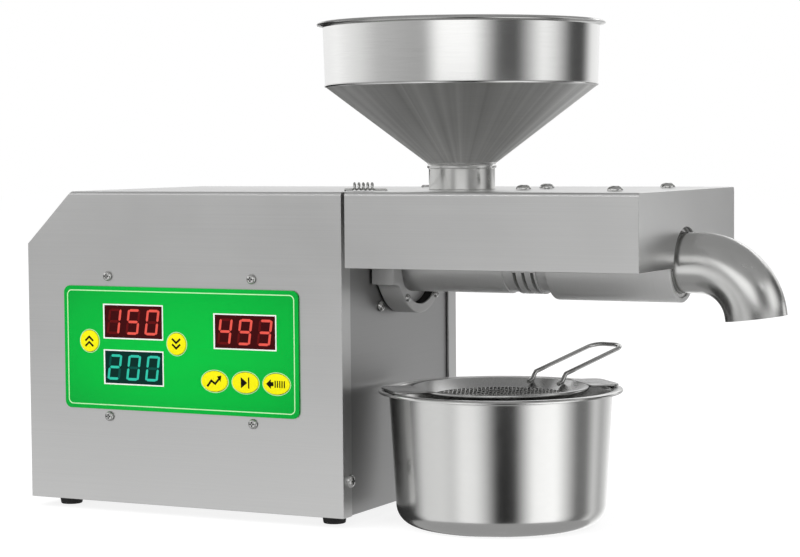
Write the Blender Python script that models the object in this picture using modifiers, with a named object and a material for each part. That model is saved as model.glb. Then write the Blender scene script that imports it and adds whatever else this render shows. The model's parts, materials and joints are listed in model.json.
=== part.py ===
"""Screw oil press: drive casing, press head under a lift-off hood, hopper, oil pan and strainer.

Metres, +Z up. X runs from the casing to the outlet, -Y is the front with the controls.
Inside the file the casing's left, front and standing surfaces are X, Y and Z = 0. One empty then moves
the whole machine so that its origin is the bottom centre of its bounding box.
"""
import math

import bmesh
import bpy
from mathutils import Matrix

# Running clearance between pieces, overrun of a cut past its face, and the mesh weld
gap = 0.0003
overrun = 0.005
weld = 0.00001
full_turn = 2 * math.pi
quarter_turn = math.pi / 2

# Facets of round shapes
wide_steps = 32
barrel_steps = 24
round_steps = 16
small_steps = 8
tiny_steps = 8
oval_steps = 16
wire_sides = 6
corner_steps = 3

# Casing of bent stainless sheet
casing_width = 0.2000
casing_depth = 0.1420
casing_height = 0.1730
casing_chamfer = 0.0295
sheet = 0.0012
fold_radius = 0.0020
flange_width = 0.0100
end_plate_thickness = 0.0015

# Rubber feet and the tray that they are pushed into
foot_height = 0.0055
foot_top_radius = 0.00675
foot_bottom_radius = 0.0060
foot_stem_radius = 0.0022
foot_stem_length = 0.0050
foot_inset_x = 0.0148
foot_inset_y = 0.0175
tray_sheet = 0.0015
tray_lip = 0.0100

# Press axis, which the shaft, screw, barrel and outlet share
axis_below_top = 0.0379

# Control panel on the casing front
panel_width = 0.1496
panel_height = 0.0685
panel_left = 0.0247
panel_bottom = 0.0575
panel_thickness = 0.0008
panel_corner = 0.0040
panel_margin = 0.0045
window_width = 0.0385
window_height = 0.0186
left_window_x = 0.0702
right_window_x = 0.1414
current_window_z = 0.1066
target_window_z = 0.0812
timer_window_z = 0.1031
display_proud = 0.0002

# Buttons: two round ones beside the displays and three oval ones below the timer
round_button = 0.0119
oval_width = 0.0162
oval_height = 0.0112
raise_x = 0.0417
lower_x = 0.0985
round_button_z = 0.0953
power_x = 0.1224
press_x = 0.1417
reverse_x = 0.1609
oval_button_z = 0.0758
button_proud = 0.0007
button_travel = 0.0005
button_cap = 0.0032
button_stem_radius = 0.0015
switch_gap = 0.0003

# Controller board behind the panel and its four screws
board_thickness = 0.0016
board_setback = 0.0095
board_margin = 0.0045
board_screw_left = 0.0535
board_screw_right = 0.1455
board_screw_low = 0.0535
board_screw_high = 0.1316
board_post_radius = 0.0030
screw_head_radius = 0.00275
screw_head_height = 0.0016
screw_shank_radius = 0.0015
screw_tail = 0.0020

# Power board on the back wall
power_board_left = 0.0340
power_board_width = 0.0850
power_board_below_top = 0.0785
power_board_height = 0.0600
power_board_setback = 0.0100
relay_width = 0.0190
relay_height = 0.0155
relay_depth = 0.0150
capacitor_radius = 0.0090
capacitor_length = 0.0220
heatsink_width = 0.0300
heatsink_height = 0.0180
heatsink_depth = 0.0180

# Mains inlet and rocker switch in the back wall
inlet_x = 0.1500
inlet_z = 0.0380
inlet_flange_width = 0.0307
inlet_flange_height = 0.0237
inlet_flange_thickness = 0.0020
inlet_body_width = 0.0270
inlet_body_height = 0.0194
inlet_body_depth = 0.0180
inlet_wall = 0.0013
inlet_floor = 0.0020
blade_thickness = 0.0020
blade_width = 0.0040
blade_length = 0.0120
blade_pitch = 0.0070
blade_rise = 0.0020
switch_x = 0.1100
switch_bezel_width = 0.0150
switch_bezel_height = 0.0210
switch_bezel_thickness = 0.0015
switch_body_width = 0.0126
switch_body_height = 0.0186
switch_body_depth = 0.0150
switch_wall = 0.0009
rocker_half_height = 0.0078
rocker_face = 0.0016
rocker_dip = 0.0009
rocker_back = 0.0025
rocker_tilt = math.radians(8)
rocker_pivot_depth = 0.0004

# Ventilation slots
vent_width = 0.0032
vent_pitch = 0.0072
vent_count = 7
back_vent_length = 0.0300
back_vent_x = 0.0500
back_vent_z = 0.0600
tray_vent_length = 0.0500

# Cooling fan behind the left wall
fan_size = 0.0600
fan_depth = 0.0150
fan_below_fold = 0.0470
fan_bore_radius = 0.0280
fan_hub_radius = 0.0120
fan_corner = 0.0030
fan_plate = 0.0020
fan_strut_width = 0.0040
fan_pin_radius = 0.0020
blade_tip_gap = 0.0010
fan_blade_thickness = 0.0014
fan_blade_chord = 0.0120
fan_blade_count = 7
fan_blade_pitch = math.radians(38)

# Spur gear train between the motor and the press shaft
third_module = 0.00150
motor_drop_share = 0.705
first_mesh_share = 0.500
pinion_teeth = 12
first_teeth = 48
second_teeth = 36
output_teeth = 35
backlash = 0.0003
addendum_share = 0.90
dedendum_share = 1.20
pressure_angle = math.radians(20)
first_face = 0.0075
second_face = 0.0085
third_face = 0.0120
gear_spacing = 0.0015
journal_step = 0.0008
journal_depth = 0.0030

# Gearbox casting
gearbox_wall = 0.0035
gearbox_clearance = 0.0012
lid_thickness = 0.0100
boss_depth = 0.0060
boss_wall = 0.0035

# Press shaft and its two ball bearings
shaft_radius = 0.0090
shaft_tail_radius = 0.0060
shaft_nose = 0.0060
front_bearing_radius = 0.0180
front_bearing_width = 0.0080
rear_bearing_radius = 0.0130
rear_bearing_width = 0.0070
bearing_groove = 0.0008
socket_width = 0.0099
socket_depth = 0.0170

# Motor
motor_floor_gap = 0.0053
motor_length = 0.1000
motor_wall = 0.0030
motor_front_wall = 0.0040
bell_length = 0.0160
bell_step = 0.0040
armature_air_gap = 0.0030
armature_length = 0.0450
commutator_radius = 0.0120
commutator_length = 0.0140
armature_front_space = 0.0160
pinion_entry_gap = 0.0007

# Cast seat that holds the barrel on the casing wall
seat_thickness = 0.0132
seat_radius = 0.0301
seat_bore_radius = 0.0252
seat_back_wall = 0.0042
seat_ear_reach = 0.0348
seat_ear_half_height = 0.0128
seat_ear_corner = 0.0040
seat_shaft_hole = 0.0118
seat_screw_radius = 0.0021

# Barrel
barrel_radius = 0.0182
barrel_bore_radius = 0.0113
barrel_end_share = 0.9146
barrel_collar_radius = 0.0248
barrel_collar_width = 0.0034
relief_depth = 0.0009
first_relief_share = 0.4024
first_relief_width = 0.0060
second_relief_share = 0.5213
second_relief_width = 0.0052
slot_share = 0.4463
slot_pitch = 0.0051
slot_count = 3
slot_width = 0.0018
slot_top = 0.0060
feed_boss_radius = 0.0166
feed_boss_height = 0.0070
feed_hole_radius = 0.0125
probe_from_boss = 0.0051
probe_radius = 0.0020
probe_length = 0.0130
probe_seat = 0.0030
probe_head_radius = 0.0032
probe_head_length = 0.0040

# Press screw
tang_width = 0.0093
screw_collar_length = 0.0080
screw_radius = 0.0109
screw_root_feed = 0.0060
screw_root_outlet = 0.0088
screw_flight_pitch = 0.0210
screw_flight_turns = 6
screw_flight_steps = 10
flight_root_width = 0.0056
flight_tip_width = 0.0032
flight_sink = 0.0020
screw_tip_length = 0.0060
screw_tip_radius = 0.0045

# Heater band round the outlet end of the barrel
heater_share = 0.5640
heater_length_share = 0.4238
heater_radius = 0.0210
heater_slit = 0.0030
clamp_lug_height = 0.0100
clamp_lug_thickness = 0.0020
clamp_lug_length = 0.0140

# Outlet pipe
pipe_radius = 0.0160
pipe_wall = 0.0015
pipe_bend_share = 1.0463
pipe_bend_radius = 0.0300
pipe_bend_angle = math.radians(83)
pipe_lip = 0.0019
pipe_bend_steps = 7
pipe_sides = 16
pipe_collar_length = 0.0050

# Hood over the press head
hood_gap = 0.0020
hood_length = 0.1640
hood_overhang = 0.0080
hood_height = 0.0400
hood_arch_radius = 0.0203
hood_arch_drop = 0.0015
neck_hole_radius = 0.0195

# Saddles under the hood and their screws
saddle_sheet = 0.0015
saddle_flange = 0.0120
inner_saddle_share = 0.4695
outer_saddle_share = 0.8415
inner_saddle_half = 0.0260
outer_saddle_half = 0.0480
inner_screw_offset = 0.0160
outer_screw_offset = 0.0395
saddle_drop = 0.0010
dome_radius = 0.0042
dome_height = 0.0024

# Extension springs that hold the hood against the casing
spring_wire_radius = 0.0005
spring_radius = 0.0017
spring_turns = 4
spring_turn_points = 6
spring_coil_start = 0.1940
spring_coil_length = 0.0132
spring_left_hook = 0.1892
spring_right_hook = 0.2145
spring_front_y = 0.0250
spring_back_y = 0.1200
spring_hook_depth = 0.0022

# Hopper: band, cone and neck spun from one sheet
hopper_share = 0.2152
hopper_wall = 0.0008
hopper_rim_radius = 0.0785
hopper_rim_height = 0.0030
hopper_mouth_radius = 0.0751
hopper_band_radius = 0.0742
hopper_neck_radius = 0.0180
hopper_rise = 0.0905
hopper_band_rise = 0.0562
hopper_neck_rise = 0.0140
hopper_bead = 0.0008
hopper_bead_height = 0.0025

# Oil pan
pan_x = 0.2670
pan_y = 0.0543
pan_height = 0.0727
pan_wall = 0.0010
pan_rim_radius = 0.0655
pan_rim_drop = 0.0016
pan_mouth_radius = 0.0597
pan_base_radius = 0.0563
pan_corner_radius = 0.0110

# Strainer that lies in the pan's mouth
strainer_radius = 0.0475
strainer_ring_width = 0.0125
strainer_ring_drop = 0.0045
strainer_sheet = 0.0010
strainer_lip = 0.0016
strainer_above_rim = 0.0012
mesh_depth = 0.0085
mesh_sheet = 0.0008
mesh_rings = 2
ear_width = 0.0340
ear_reach = 0.0628
ear_direction = math.radians(42)
ear_sheet = 0.0012
handle_direction = math.radians(74)
handle_wire_radius = 0.0012
handle_half_width = 0.0105
handle_foot = 0.0365
handle_foot_length = 0.0035
handle_bend = 0.0430
handle_lift = 0.0020
handle_reach = 0.0965
handle_rise = 0.0118
handle_corner = 0.0070

# Derived heights and stations along X
casing_floor = foot_height
casing_top = casing_floor + casing_height
tray_floor_top = casing_floor + tray_sheet
axis_y = casing_depth / 2
axis_z = casing_top - axis_below_top
fan_z = casing_top - casing_chamfer - fan_below_fold
power_board_bottom = casing_top - power_board_below_top
plate_front_x = casing_width - sheet - gap
plate_back_x = plate_front_x - end_plate_thickness
inner_front_y = sheet + gap
inner_back_y = casing_depth - sheet - gap
lid_front_x = plate_back_x - gap
lid_back_x = lid_front_x - lid_thickness
cavity_depth = first_face + second_face + third_face + 4 * gear_spacing
housing_front_x = lid_back_x - gap
housing_cavity_x = housing_front_x - cavity_depth
housing_back_x = housing_cavity_x - gearbox_wall
seat_back_x = plate_front_x + gap
seat_front_x = seat_back_x + seat_thickness
barrel_start = seat_back_x + seat_back_wall + gap
hood_left = casing_width + hood_gap
hood_right = hood_left + hood_length
hood_depth = casing_depth + hood_overhang
hood_underside = casing_top - sheet
hopper_x = hood_left + hopper_share * hood_length
first_relief_start = hood_left + first_relief_share * hood_length
slot_first = hood_left + slot_share * hood_length
inner_saddle_x = hood_left + inner_saddle_share * hood_length
second_relief_start = hood_left + second_relief_share * hood_length
heater_start = hood_left + heater_share * hood_length
heater_length = heater_length_share * hood_length
outer_saddle_x = hood_left + outer_saddle_share * hood_length
barrel_end = hood_left + barrel_end_share * hood_length
pipe_bend_start = hood_left + pipe_bend_share * hood_length
pipe_start = barrel_end + gap
probe_x = hopper_x + feed_boss_radius + probe_from_boss
hopper_top = casing_top + hopper_rise
hopper_band_bottom = casing_top + hopper_band_rise
hopper_neck_top = casing_top + hopper_neck_rise
panel_mid_x = panel_left + panel_width / 2
panel_mid_z = panel_bottom + panel_height / 2
panel_back_y = -gap
panel_front_y = panel_back_y - panel_thickness

# Shaft heights, from the press axis down to the motor, and the modules that fill them
motor_z = axis_z - motor_drop_share * (axis_z - casing_floor)
second_shaft_z = axis_z - third_module * (pinion_teeth + output_teeth) / 2
first_shaft_z = motor_z + first_mesh_share * (second_shaft_z - motor_z)
first_module = 2 * (first_shaft_z - motor_z) / (pinion_teeth + first_teeth)
second_module = 2 * (second_shaft_z - first_shaft_z) / (pinion_teeth + second_teeth)
journal_radius = first_module * (pinion_teeth / 2 - dedendum_share) - journal_step
armature_shaft_radius = journal_radius
motor_bore_radius = first_module * (pinion_teeth / 2 + addendum_share) + pinion_entry_gap
motor_radius = motor_z - tray_floor_top - motor_floor_gap
armature_radius = motor_radius - motor_wall - armature_air_gap

# Middle planes of the three meshes
first_mesh_x = housing_cavity_x + gear_spacing + first_face / 2
second_mesh_x = first_mesh_x + first_face / 2 + gear_spacing + second_face / 2
third_mesh_x = second_mesh_x + second_face / 2 + gear_spacing + third_face / 2

# Bounding box of the machine, which sets the origin
box_left = 0.0
box_right = (pipe_bend_start + (pipe_bend_radius + pipe_radius) * math.sin(pipe_bend_angle)
             + pipe_lip * math.cos(pipe_bend_angle))
box_front = pan_y - pan_rim_radius
box_back = hood_depth

# Turns that lay a piece modelled along Z or in the XY plane into the machine
upright = (0.0, 0.0, 0.0)
along_x = (0.0, quarter_turn, 0.0)
along_front = (quarter_turn, 0.0, 0.0)
facing_x = (quarter_turn, 0.0, quarter_turn)
facing_front = (quarter_turn, 0.0, 0.0)

# Finishes: colour, roughness, metallic
brushed_steel = ((0.60, 0.60, 0.59), 0.34, 1.0)
polished_steel = ((0.72, 0.72, 0.71), 0.16, 1.0)
cast_metal = ((0.42, 0.42, 0.42), 0.48, 0.9)
cast_aluminium = ((0.58, 0.59, 0.60), 0.50, 1.0)
gear_steel = ((0.40, 0.40, 0.42), 0.30, 1.0)
black_rubber = ((0.02, 0.02, 0.02), 0.80, 0.0)
black_plastic = ((0.03, 0.03, 0.03), 0.45, 0.0)
green_film = ((0.00, 0.46, 0.10), 0.35, 0.0)
yellow_film = ((0.86, 0.78, 0.02), 0.35, 0.0)
display_red = ((0.12, 0.01, 0.01), 0.20, 0.0)
display_cyan = ((0.01, 0.10, 0.09), 0.20, 0.0)
board_green = ((0.02, 0.16, 0.07), 0.50, 0.0)
motor_paint = ((0.10, 0.10, 0.11), 0.45, 0.5)
copper_red = ((0.55, 0.25, 0.12), 0.40, 0.9)


def empty_scene():
    for item in list(bpy.data.objects):
        bpy.data.objects.remove(item, do_unlink=True)


def new_collection(name):
    group = bpy.data.collections.new(name)
    bpy.context.scene.collection.children.link(group)
    return group


empty_scene()
parts = new_collection("screw_oil_press")
cutters = new_collection("cutters")
machine = bpy.data.objects.new("press_origin", None)
machine.location = (-(box_left + box_right) / 2, -(box_front + box_back) / 2, 0.0)
parts.objects.link(machine)


def surface(name, finish):
    colour, roughness, metallic = finish
    material = bpy.data.materials.new(name)
    material.use_nodes = True
    shader = material.node_tree.nodes["Principled BSDF"]
    shader.inputs["Base Color"].default_value = (*colour, 1.0)
    shader.inputs["Roughness"].default_value = roughness
    shader.inputs["Metallic"].default_value = metallic
    return material


def place(name, mesh, at, turn, finish, carrier=None):
    """Add a mesh as a piece of the machine, or as a cutter when it has no finish."""
    piece = bpy.data.objects.new(name, mesh)
    piece.location = at
    piece.rotation_euler = turn
    piece.parent = carrier or machine
    if finish is None:
        cutters.objects.link(piece)
        piece.hide_render = True
        piece.display_type = "WIRE"
    else:
        parts.objects.link(piece)
        mesh.materials.clear()
        mesh.materials.append(surface(name, finish))
        smooth_round_faces(mesh)
    return piece


def smooth_round_faces(mesh):
    mesh.shade_smooth()
    mesh.set_sharp_from_angle(angle=math.radians(30))


def mesh_from(shape, name):
    bmesh.ops.recalc_face_normals(shape, faces=shape.faces)
    mesh = bpy.data.meshes.new(name)
    shape.to_mesh(mesh)
    shape.free()
    return mesh


def box_mesh(name, low, high):
    """A block between two corners."""
    shape = bmesh.new()
    bmesh.ops.create_cube(shape, size=1.0)
    size = [b - a for a, b in zip(low, high)]
    centre = [(a + b) / 2 for a, b in zip(low, high)]
    bmesh.ops.scale(shape, vec=size, verts=shape.verts)
    bmesh.ops.translate(shape, vec=centre, verts=shape.verts)
    return mesh_from(shape, name)


def boxes_mesh(name, corners):
    """Separate blocks in one mesh, for cutting a pattern in one go."""
    shape = bmesh.new()
    for low, high in corners:
        size = [b - a for a, b in zip(low, high)]
        centre = [(a + b) / 2 for a, b in zip(low, high)]
        block = bmesh.ops.create_cube(shape, size=1.0)["verts"]
        bmesh.ops.scale(shape, vec=size, verts=block)
        bmesh.ops.translate(shape, vec=centre, verts=block)
    return mesh_from(shape, name)


def rods_mesh(name, rods, steps=small_steps):
    """Separate cylinders along Z in one mesh: each rod is (x, y, low z, high z, radius)."""
    shape = bmesh.new()
    for x, y, low, high, radius in rods:
        bmesh.ops.create_cone(shape, cap_ends=True, segments=steps, radius1=radius, radius2=radius,
                              depth=high - low, matrix=Matrix.Translation((x, y, (low + high) / 2)))
    return mesh_from(shape, name)


def welded_mesh(curve_object, name):
    """The mesh of a curve with its caps joined on."""
    graph = bpy.context.evaluated_depsgraph_get()
    mesh = bpy.data.meshes.new_from_object(curve_object.evaluated_get(graph))
    curve = curve_object.data
    bpy.data.objects.remove(curve_object, do_unlink=True)
    bpy.data.curves.remove(curve)
    shape = bmesh.new()
    shape.from_mesh(mesh)
    bpy.data.meshes.remove(mesh)
    bmesh.ops.remove_doubles(shape, verts=shape.verts, dist=weld)
    return mesh_from(shape, name)


def flat_mesh(name, loops, thickness):
    """A flat outline with holes in XY, given its thickness along Z about the plane."""
    curve = bpy.data.curves.new(name, "CURVE")
    curve.dimensions = "2D"
    curve.fill_mode = "BOTH"
    curve.extrude = thickness / 2
    for loop in loops:
        spline = curve.splines.new("POLY")
        spline.points.add(len(loop) - 1)
        for point, (x, y) in zip(spline.points, loop):
            point.co = (x, y, 0.0, 1.0)
        spline.use_cyclic_u = True
    carrier = bpy.data.objects.new(name, curve)
    bpy.context.scene.collection.objects.link(carrier)
    return welded_mesh(carrier, name)


def wire_mesh(name, points, radius, sides):
    """A round bar along a line of points, closed at both ends."""
    curve = bpy.data.curves.new(name, "CURVE")
    curve.dimensions = "3D"
    curve.bevel_depth = radius
    curve.bevel_resolution = (sides - 4) // 2
    curve.use_fill_caps = True
    spline = curve.splines.new("POLY")
    spline.points.add(len(points) - 1)
    for point, place_on_line in zip(spline.points, points):
        point.co = (*place_on_line, 1.0)
    carrier = bpy.data.objects.new(name, curve)
    bpy.context.scene.collection.objects.link(carrier)
    return welded_mesh(carrier, name)


def profile_mesh(name, profile, closed):
    """The half section of a turned piece: (radius, height) down the outer side first."""
    shape = bmesh.new()
    points = [shape.verts.new((radius, 0.0, height)) for radius, height in profile]
    for first, second in zip(points, points[1:]):
        shape.edges.new((first, second))
    if closed:
        shape.edges.new((points[-1], points[0]))
    mesh = bpy.data.meshes.new(name)
    shape.to_mesh(mesh)
    shape.free()
    return mesh


def turned(name, profile, at, turn, finish, steps=round_steps, closed=True, carrier=None):
    """A turned piece about its own Z axis."""
    piece = place(name, profile_mesh(name, profile, closed), at, turn, finish, carrier)
    lathe = piece.modifiers.new("lathe", "SCREW")
    lathe.axis = "Z"
    lathe.angle = full_turn
    lathe.steps = steps
    lathe.render_steps = steps
    lathe.use_merge_vertices = True
    lathe.merge_threshold = weld
    lathe.use_smooth_shade = True
    return piece


def combine(piece, tool, operation):
    change = piece.modifiers.new(tool.name, "BOOLEAN")
    change.operation = operation
    change.object = tool
    change.solver = "EXACT"


def cut(piece, tool):
    combine(piece, tool, "DIFFERENCE")


def join(piece, tool):
    combine(piece, tool, "UNION")


def arc(centre, radius, start, end, steps):
    """Points on an arc, both ends included, angles in radians."""
    points = []
    for step in range(steps + 1):
        angle = start + (end - start) * step / steps
        points.append((centre[0] + radius * math.cos(angle), centre[1] + radius * math.sin(angle)))
    return points


def circle(centre, radius, steps=small_steps):
    return arc(centre, radius, 0.0, full_turn * (steps - 1) / steps, steps - 1)


def rectangle(left, bottom, right, top):
    return [(left, bottom), (right, bottom), (right, top), (left, top)]


def rounded_rectangle(left, bottom, right, top, radius, steps=corner_steps):
    corners = (((right - radius, bottom + radius), -quarter_turn), ((right - radius, top - radius), 0.0),
               ((left + radius, top - radius), quarter_turn), ((left + radius, bottom + radius), math.pi))
    points = []
    for centre, start in corners:
        points += arc(centre, radius, start, start + quarter_turn, steps)
    return points


def rounded_top(left, bottom, right, top, radius, steps=corner_steps):
    """A rectangle whose two upper corners are folds."""
    points = [(left, bottom), (right, bottom)]
    points += arc((right - radius, top - radius), radius, 0.0, quarter_turn, steps)
    points += arc((left + radius, top - radius), radius, quarter_turn, math.pi, steps)
    return points


def slot_outline(centre, length, width):
    """An upright slot with round ends."""
    x, y = centre
    reach = (length - width) / 2
    points = arc((x, y + reach), width / 2, 0.0, math.pi, corner_steps)
    points += arc((x, y - reach), width / 2, math.pi, full_turn, corner_steps)
    return points


def oval(centre, width, height):
    points = []
    for step in range(oval_steps):
        angle = full_turn * step / oval_steps
        points.append((centre[0] + width / 2 * math.cos(angle), centre[1] + height / 2 * math.sin(angle)))
    return points


def involute(angle):
    return math.tan(angle) - angle


def gear_outline(teeth, module, phase):
    """Involute teeth thinned by the backlash, each flank drawn as the chord from its root to its tip.

    A tooth lies on the angle called phase.
    """
    pitch = teeth * module / 2
    base = pitch * math.cos(pressure_angle)
    radii = (pitch - dedendum_share * module, pitch + addendum_share * module)
    half_pitch_tooth = (math.pi * module / 2 - backlash) / (2 * pitch)
    flank = []
    for radius in radii:
        slope = math.acos(min(1.0, base / max(radius, base)))
        flank.append((radius, half_pitch_tooth + involute(pressure_angle) - involute(slope)))
    points = []
    for tooth in range(teeth):
        middle = phase + full_turn * tooth / teeth
        for radius, half in flank:
            points.append((radius * math.cos(middle - half), radius * math.sin(middle - half)))
        for radius, half in reversed(flank):
            points.append((radius * math.cos(middle + half), radius * math.sin(middle + half)))
    return points


def tip_radius(teeth, module):
    return teeth * module / 2 + addendum_share * module


def root_radius(teeth, module):
    return teeth * module / 2 - dedendum_share * module


def gearbox_outline(inset):
    """Two round ends joined by tangents: the output gear above, the first gear below."""
    room = gearbox_clearance + gearbox_wall - inset
    upper = tip_radius(output_teeth, third_module) + room
    lower = tip_radius(first_teeth, first_module) + room
    lean = math.asin((upper - lower) / (axis_z - motor_z))
    points = arc((axis_y, axis_z), upper, lean, math.pi - lean, round_steps // 2)
    points += arc((axis_y, motor_z), lower, math.pi - lean, full_turn + lean, round_steps // 2)
    return points


def make_cover_shell():
    outline = rounded_top(0.0, casing_floor, casing_depth, casing_top, fold_radius)
    shell = place("cover_shell", flat_mesh("cover_shell", [outline], casing_width),
                  (casing_width / 2, 0.0, 0.0), facing_x, brushed_steel)
    inner = rounded_top(sheet, casing_floor - overrun, casing_depth - sheet, casing_top - sheet,
                        fold_radius - sheet)
    pocket_length = casing_width - sheet + overrun
    cut(shell, place("cover_pocket", flat_mesh("cover_pocket", [inner], pocket_length),
                     (casing_width - sheet - pocket_length / 2, 0.0, 0.0), facing_x, None))
    side = rectangle(flange_width, casing_floor - overrun, casing_depth - flange_width,
                     casing_top - flange_width)
    cut(shell, place("cover_side_window", flat_mesh("cover_side_window", [side], 2 * overrun),
                     (casing_width, 0.0, 0.0), facing_x, None))
    notch = circle((axis_y, axis_z), seat_radius + gap, wide_steps)
    cut(shell, place("cover_seat_notch", flat_mesh("cover_seat_notch", [notch], 2 * overrun),
                     (casing_width + overrun - sheet - gap, 0.0, 0.0), facing_x, None))
    corner = [(-overrun, casing_top - casing_chamfer - overrun),
              (casing_chamfer + overrun, casing_top + overrun),
              (-overrun, casing_top + overrun)]
    cut(shell, place("cover_chamfer", flat_mesh("cover_chamfer", [corner], casing_depth + 2 * overrun),
                     (0.0, casing_depth / 2, 0.0), facing_front, None))
    front = [rectangle(panel_left + panel_margin, panel_bottom + panel_margin,
                       panel_left + panel_width - panel_margin, panel_bottom + panel_height - panel_margin)]
    for x in (board_screw_left, board_screw_right):
        for z in (board_screw_low, board_screw_high):
            front.append(circle((x, z), screw_shank_radius + gap, tiny_steps))
    for index, loop in enumerate(front):
        name = f"front_opening_{index}"
        cut(shell, place(name, flat_mesh(name, [loop], 2 * overrun), (0.0, 0.0, 0.0), facing_front, None))
    back = [rectangle(inlet_x - inlet_body_width / 2 - gap, inlet_z - inlet_body_height / 2 - gap,
                      inlet_x + inlet_body_width / 2 + gap, inlet_z + inlet_body_height / 2 + gap),
            rectangle(switch_x - switch_body_width / 2 - gap, inlet_z - switch_body_height / 2 - gap,
                      switch_x + switch_body_width / 2 + gap, inlet_z + switch_body_height / 2 + gap)]
    for index in range(vent_count):
        back.append(slot_outline((back_vent_x + index * vent_pitch, back_vent_z), back_vent_length,
                                 vent_width))
    for index, loop in enumerate(back):
        name = f"back_opening_{index}"
        cut(shell,
            place(name, flat_mesh(name, [loop], 2 * overrun), (0.0, casing_depth, 0.0), facing_front, None))
    hooks = [(spring_left_hook, y, casing_top - overrun, casing_top + overrun, spring_wire_radius + 2 * gap)
             for y in (spring_front_y, spring_back_y)]
    cut(shell,
        place("casing_hook_holes", rods_mesh("casing_hook_holes", hooks), (0.0, 0.0, 0.0), upright, None))


def make_left_panel():
    lift = sheet * math.tan(math.pi / 8)
    diagonal = sheet / math.sqrt(2)
    end_x = casing_chamfer - sheet - gap
    end_z = casing_top - sheet - gap
    bend_z = casing_top - casing_chamfer
    outline = [(0.0, casing_floor), (sheet, casing_floor), (sheet, bend_z - lift),
               (end_x + diagonal, end_z - diagonal), (end_x, end_z), (0.0, bend_z)]
    width = inner_back_y - inner_front_y
    panel = place("left_panel", flat_mesh("left_panel", [outline], width),
                  (0.0, casing_depth / 2, 0.0), facing_front, brushed_steel)
    reach = fan_bore_radius - vent_width
    for index in range(vent_count):
        offset = (index - (vent_count - 1) / 2) * vent_pitch
        length = 2 * math.sqrt(reach ** 2 - offset ** 2)
        name = f"fan_slot_{index}"
        loop = slot_outline((axis_y + offset, fan_z), length, vent_width)
        cut(panel, place(name, flat_mesh(name, [loop], 2 * overrun), (0.0, 0.0, 0.0), facing_x, None))


def make_right_end_plate():
    outline = rounded_top(inner_front_y, casing_floor, inner_back_y, casing_top - sheet - gap, fold_radius)
    shaft_hole = circle((axis_y, axis_z), shaft_radius + overrun / 2, round_steps)
    middle = plate_front_x - end_plate_thickness / 2
    place("right_end_plate", flat_mesh("right_end_plate", [outline, shaft_hole], end_plate_thickness),
          (middle, 0.0, 0.0), facing_x, brushed_steel)


def foot_places():
    for row, y in (("front", foot_inset_y), ("back", casing_depth - foot_inset_y)):
        for side, x in (("left", foot_inset_x), ("right", casing_width - foot_inset_x)):
            yield f"foot_{row}_{side}", x, y


def make_base_tray():
    low = (sheet + gap, inner_front_y, casing_floor)
    high = (plate_back_x - gap, inner_back_y, casing_floor + tray_lip)
    tray = place("base_tray", box_mesh("base_tray", low, high), (0.0, 0.0, 0.0), upright, brushed_steel)
    hollow_low = (low[0] + tray_sheet, low[1] + tray_sheet, tray_floor_top)
    hollow_high = (high[0] - tray_sheet, high[1] - tray_sheet, high[2] + overrun)
    cut(tray, place("tray_hollow", box_mesh("tray_hollow", hollow_low, hollow_high), (0.0, 0.0, 0.0),
                    upright, None))
    holes = [(x, y, casing_floor - overrun, tray_floor_top + overrun, foot_stem_radius + gap)
             for _, x, y in foot_places()]
    cut(tray, place("tray_foot_holes", rods_mesh("tray_foot_holes", holes), (0.0, 0.0, 0.0), upright, None))
    vents = []
    for index in range(vent_count):
        x = casing_width / 2 + (index - (vent_count - 1) / 2) * 2 * vent_pitch
        vents.append(((x - vent_width / 2, axis_y - tray_vent_length / 2, casing_floor - overrun),
                      (x + vent_width / 2, axis_y + tray_vent_length / 2, tray_floor_top + overrun)))
    cut(tray, place("tray_vents", boxes_mesh("tray_vents", vents), (0.0, 0.0, 0.0), upright, None))


def make_feet():
    top = casing_floor - gap
    profile = [(0.0, top + foot_stem_length), (foot_stem_radius, top + foot_stem_length),
               (foot_stem_radius, top),
               (foot_top_radius, top), (foot_bottom_radius, gap), (foot_bottom_radius - gap, 0.0), (0.0, 0.0)]
    for name, x, y in foot_places():
        turned(name, profile, (x, y, 0.0), upright, black_rubber, small_steps, closed=False)


def window_frames():
    return (("current_display", left_window_x, current_window_z, display_red),
            ("target_display", left_window_x, target_window_z, display_cyan),
            ("timer_display", right_window_x, timer_window_z, display_red))


def button_places():
    return (("raise_button", raise_x, round_button_z, round_button, round_button),
            ("lower_button", lower_x, round_button_z, round_button, round_button),
            ("power_button", power_x, oval_button_z, oval_width, oval_height),
            ("press_button", press_x, oval_button_z, oval_width, oval_height),
            ("reverse_button", reverse_x, oval_button_z, oval_width, oval_height))


def make_control_panel():
    loops = [rounded_rectangle(panel_left, panel_bottom, panel_left + panel_width,
                               panel_bottom + panel_height,
                               panel_corner)]
    for _, x, z, _ in window_frames():
        loops.append(rectangle(x - window_width / 2, z - window_height / 2, x + window_width / 2,
                               z + window_height / 2))
    for _, x, z, width, height in button_places():
        loops.append(oval((x, z), width + 2 * gap, height + 2 * gap))
    place("control_panel", flat_mesh("control_panel", loops, panel_thickness),
          (0.0, panel_back_y - panel_thickness / 2, 0.0), facing_front, green_film)


def make_displays():
    for name, x, z, finish in window_frames():
        low = (x - window_width / 2 + gap, panel_front_y + display_proud, z - window_height / 2 + gap)
        high = (x + window_width / 2 - gap, board_setback - gap, z + window_height / 2 - gap)
        place(name, box_mesh(name, low, high), (0.0, 0.0, 0.0), upright, finish)


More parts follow.
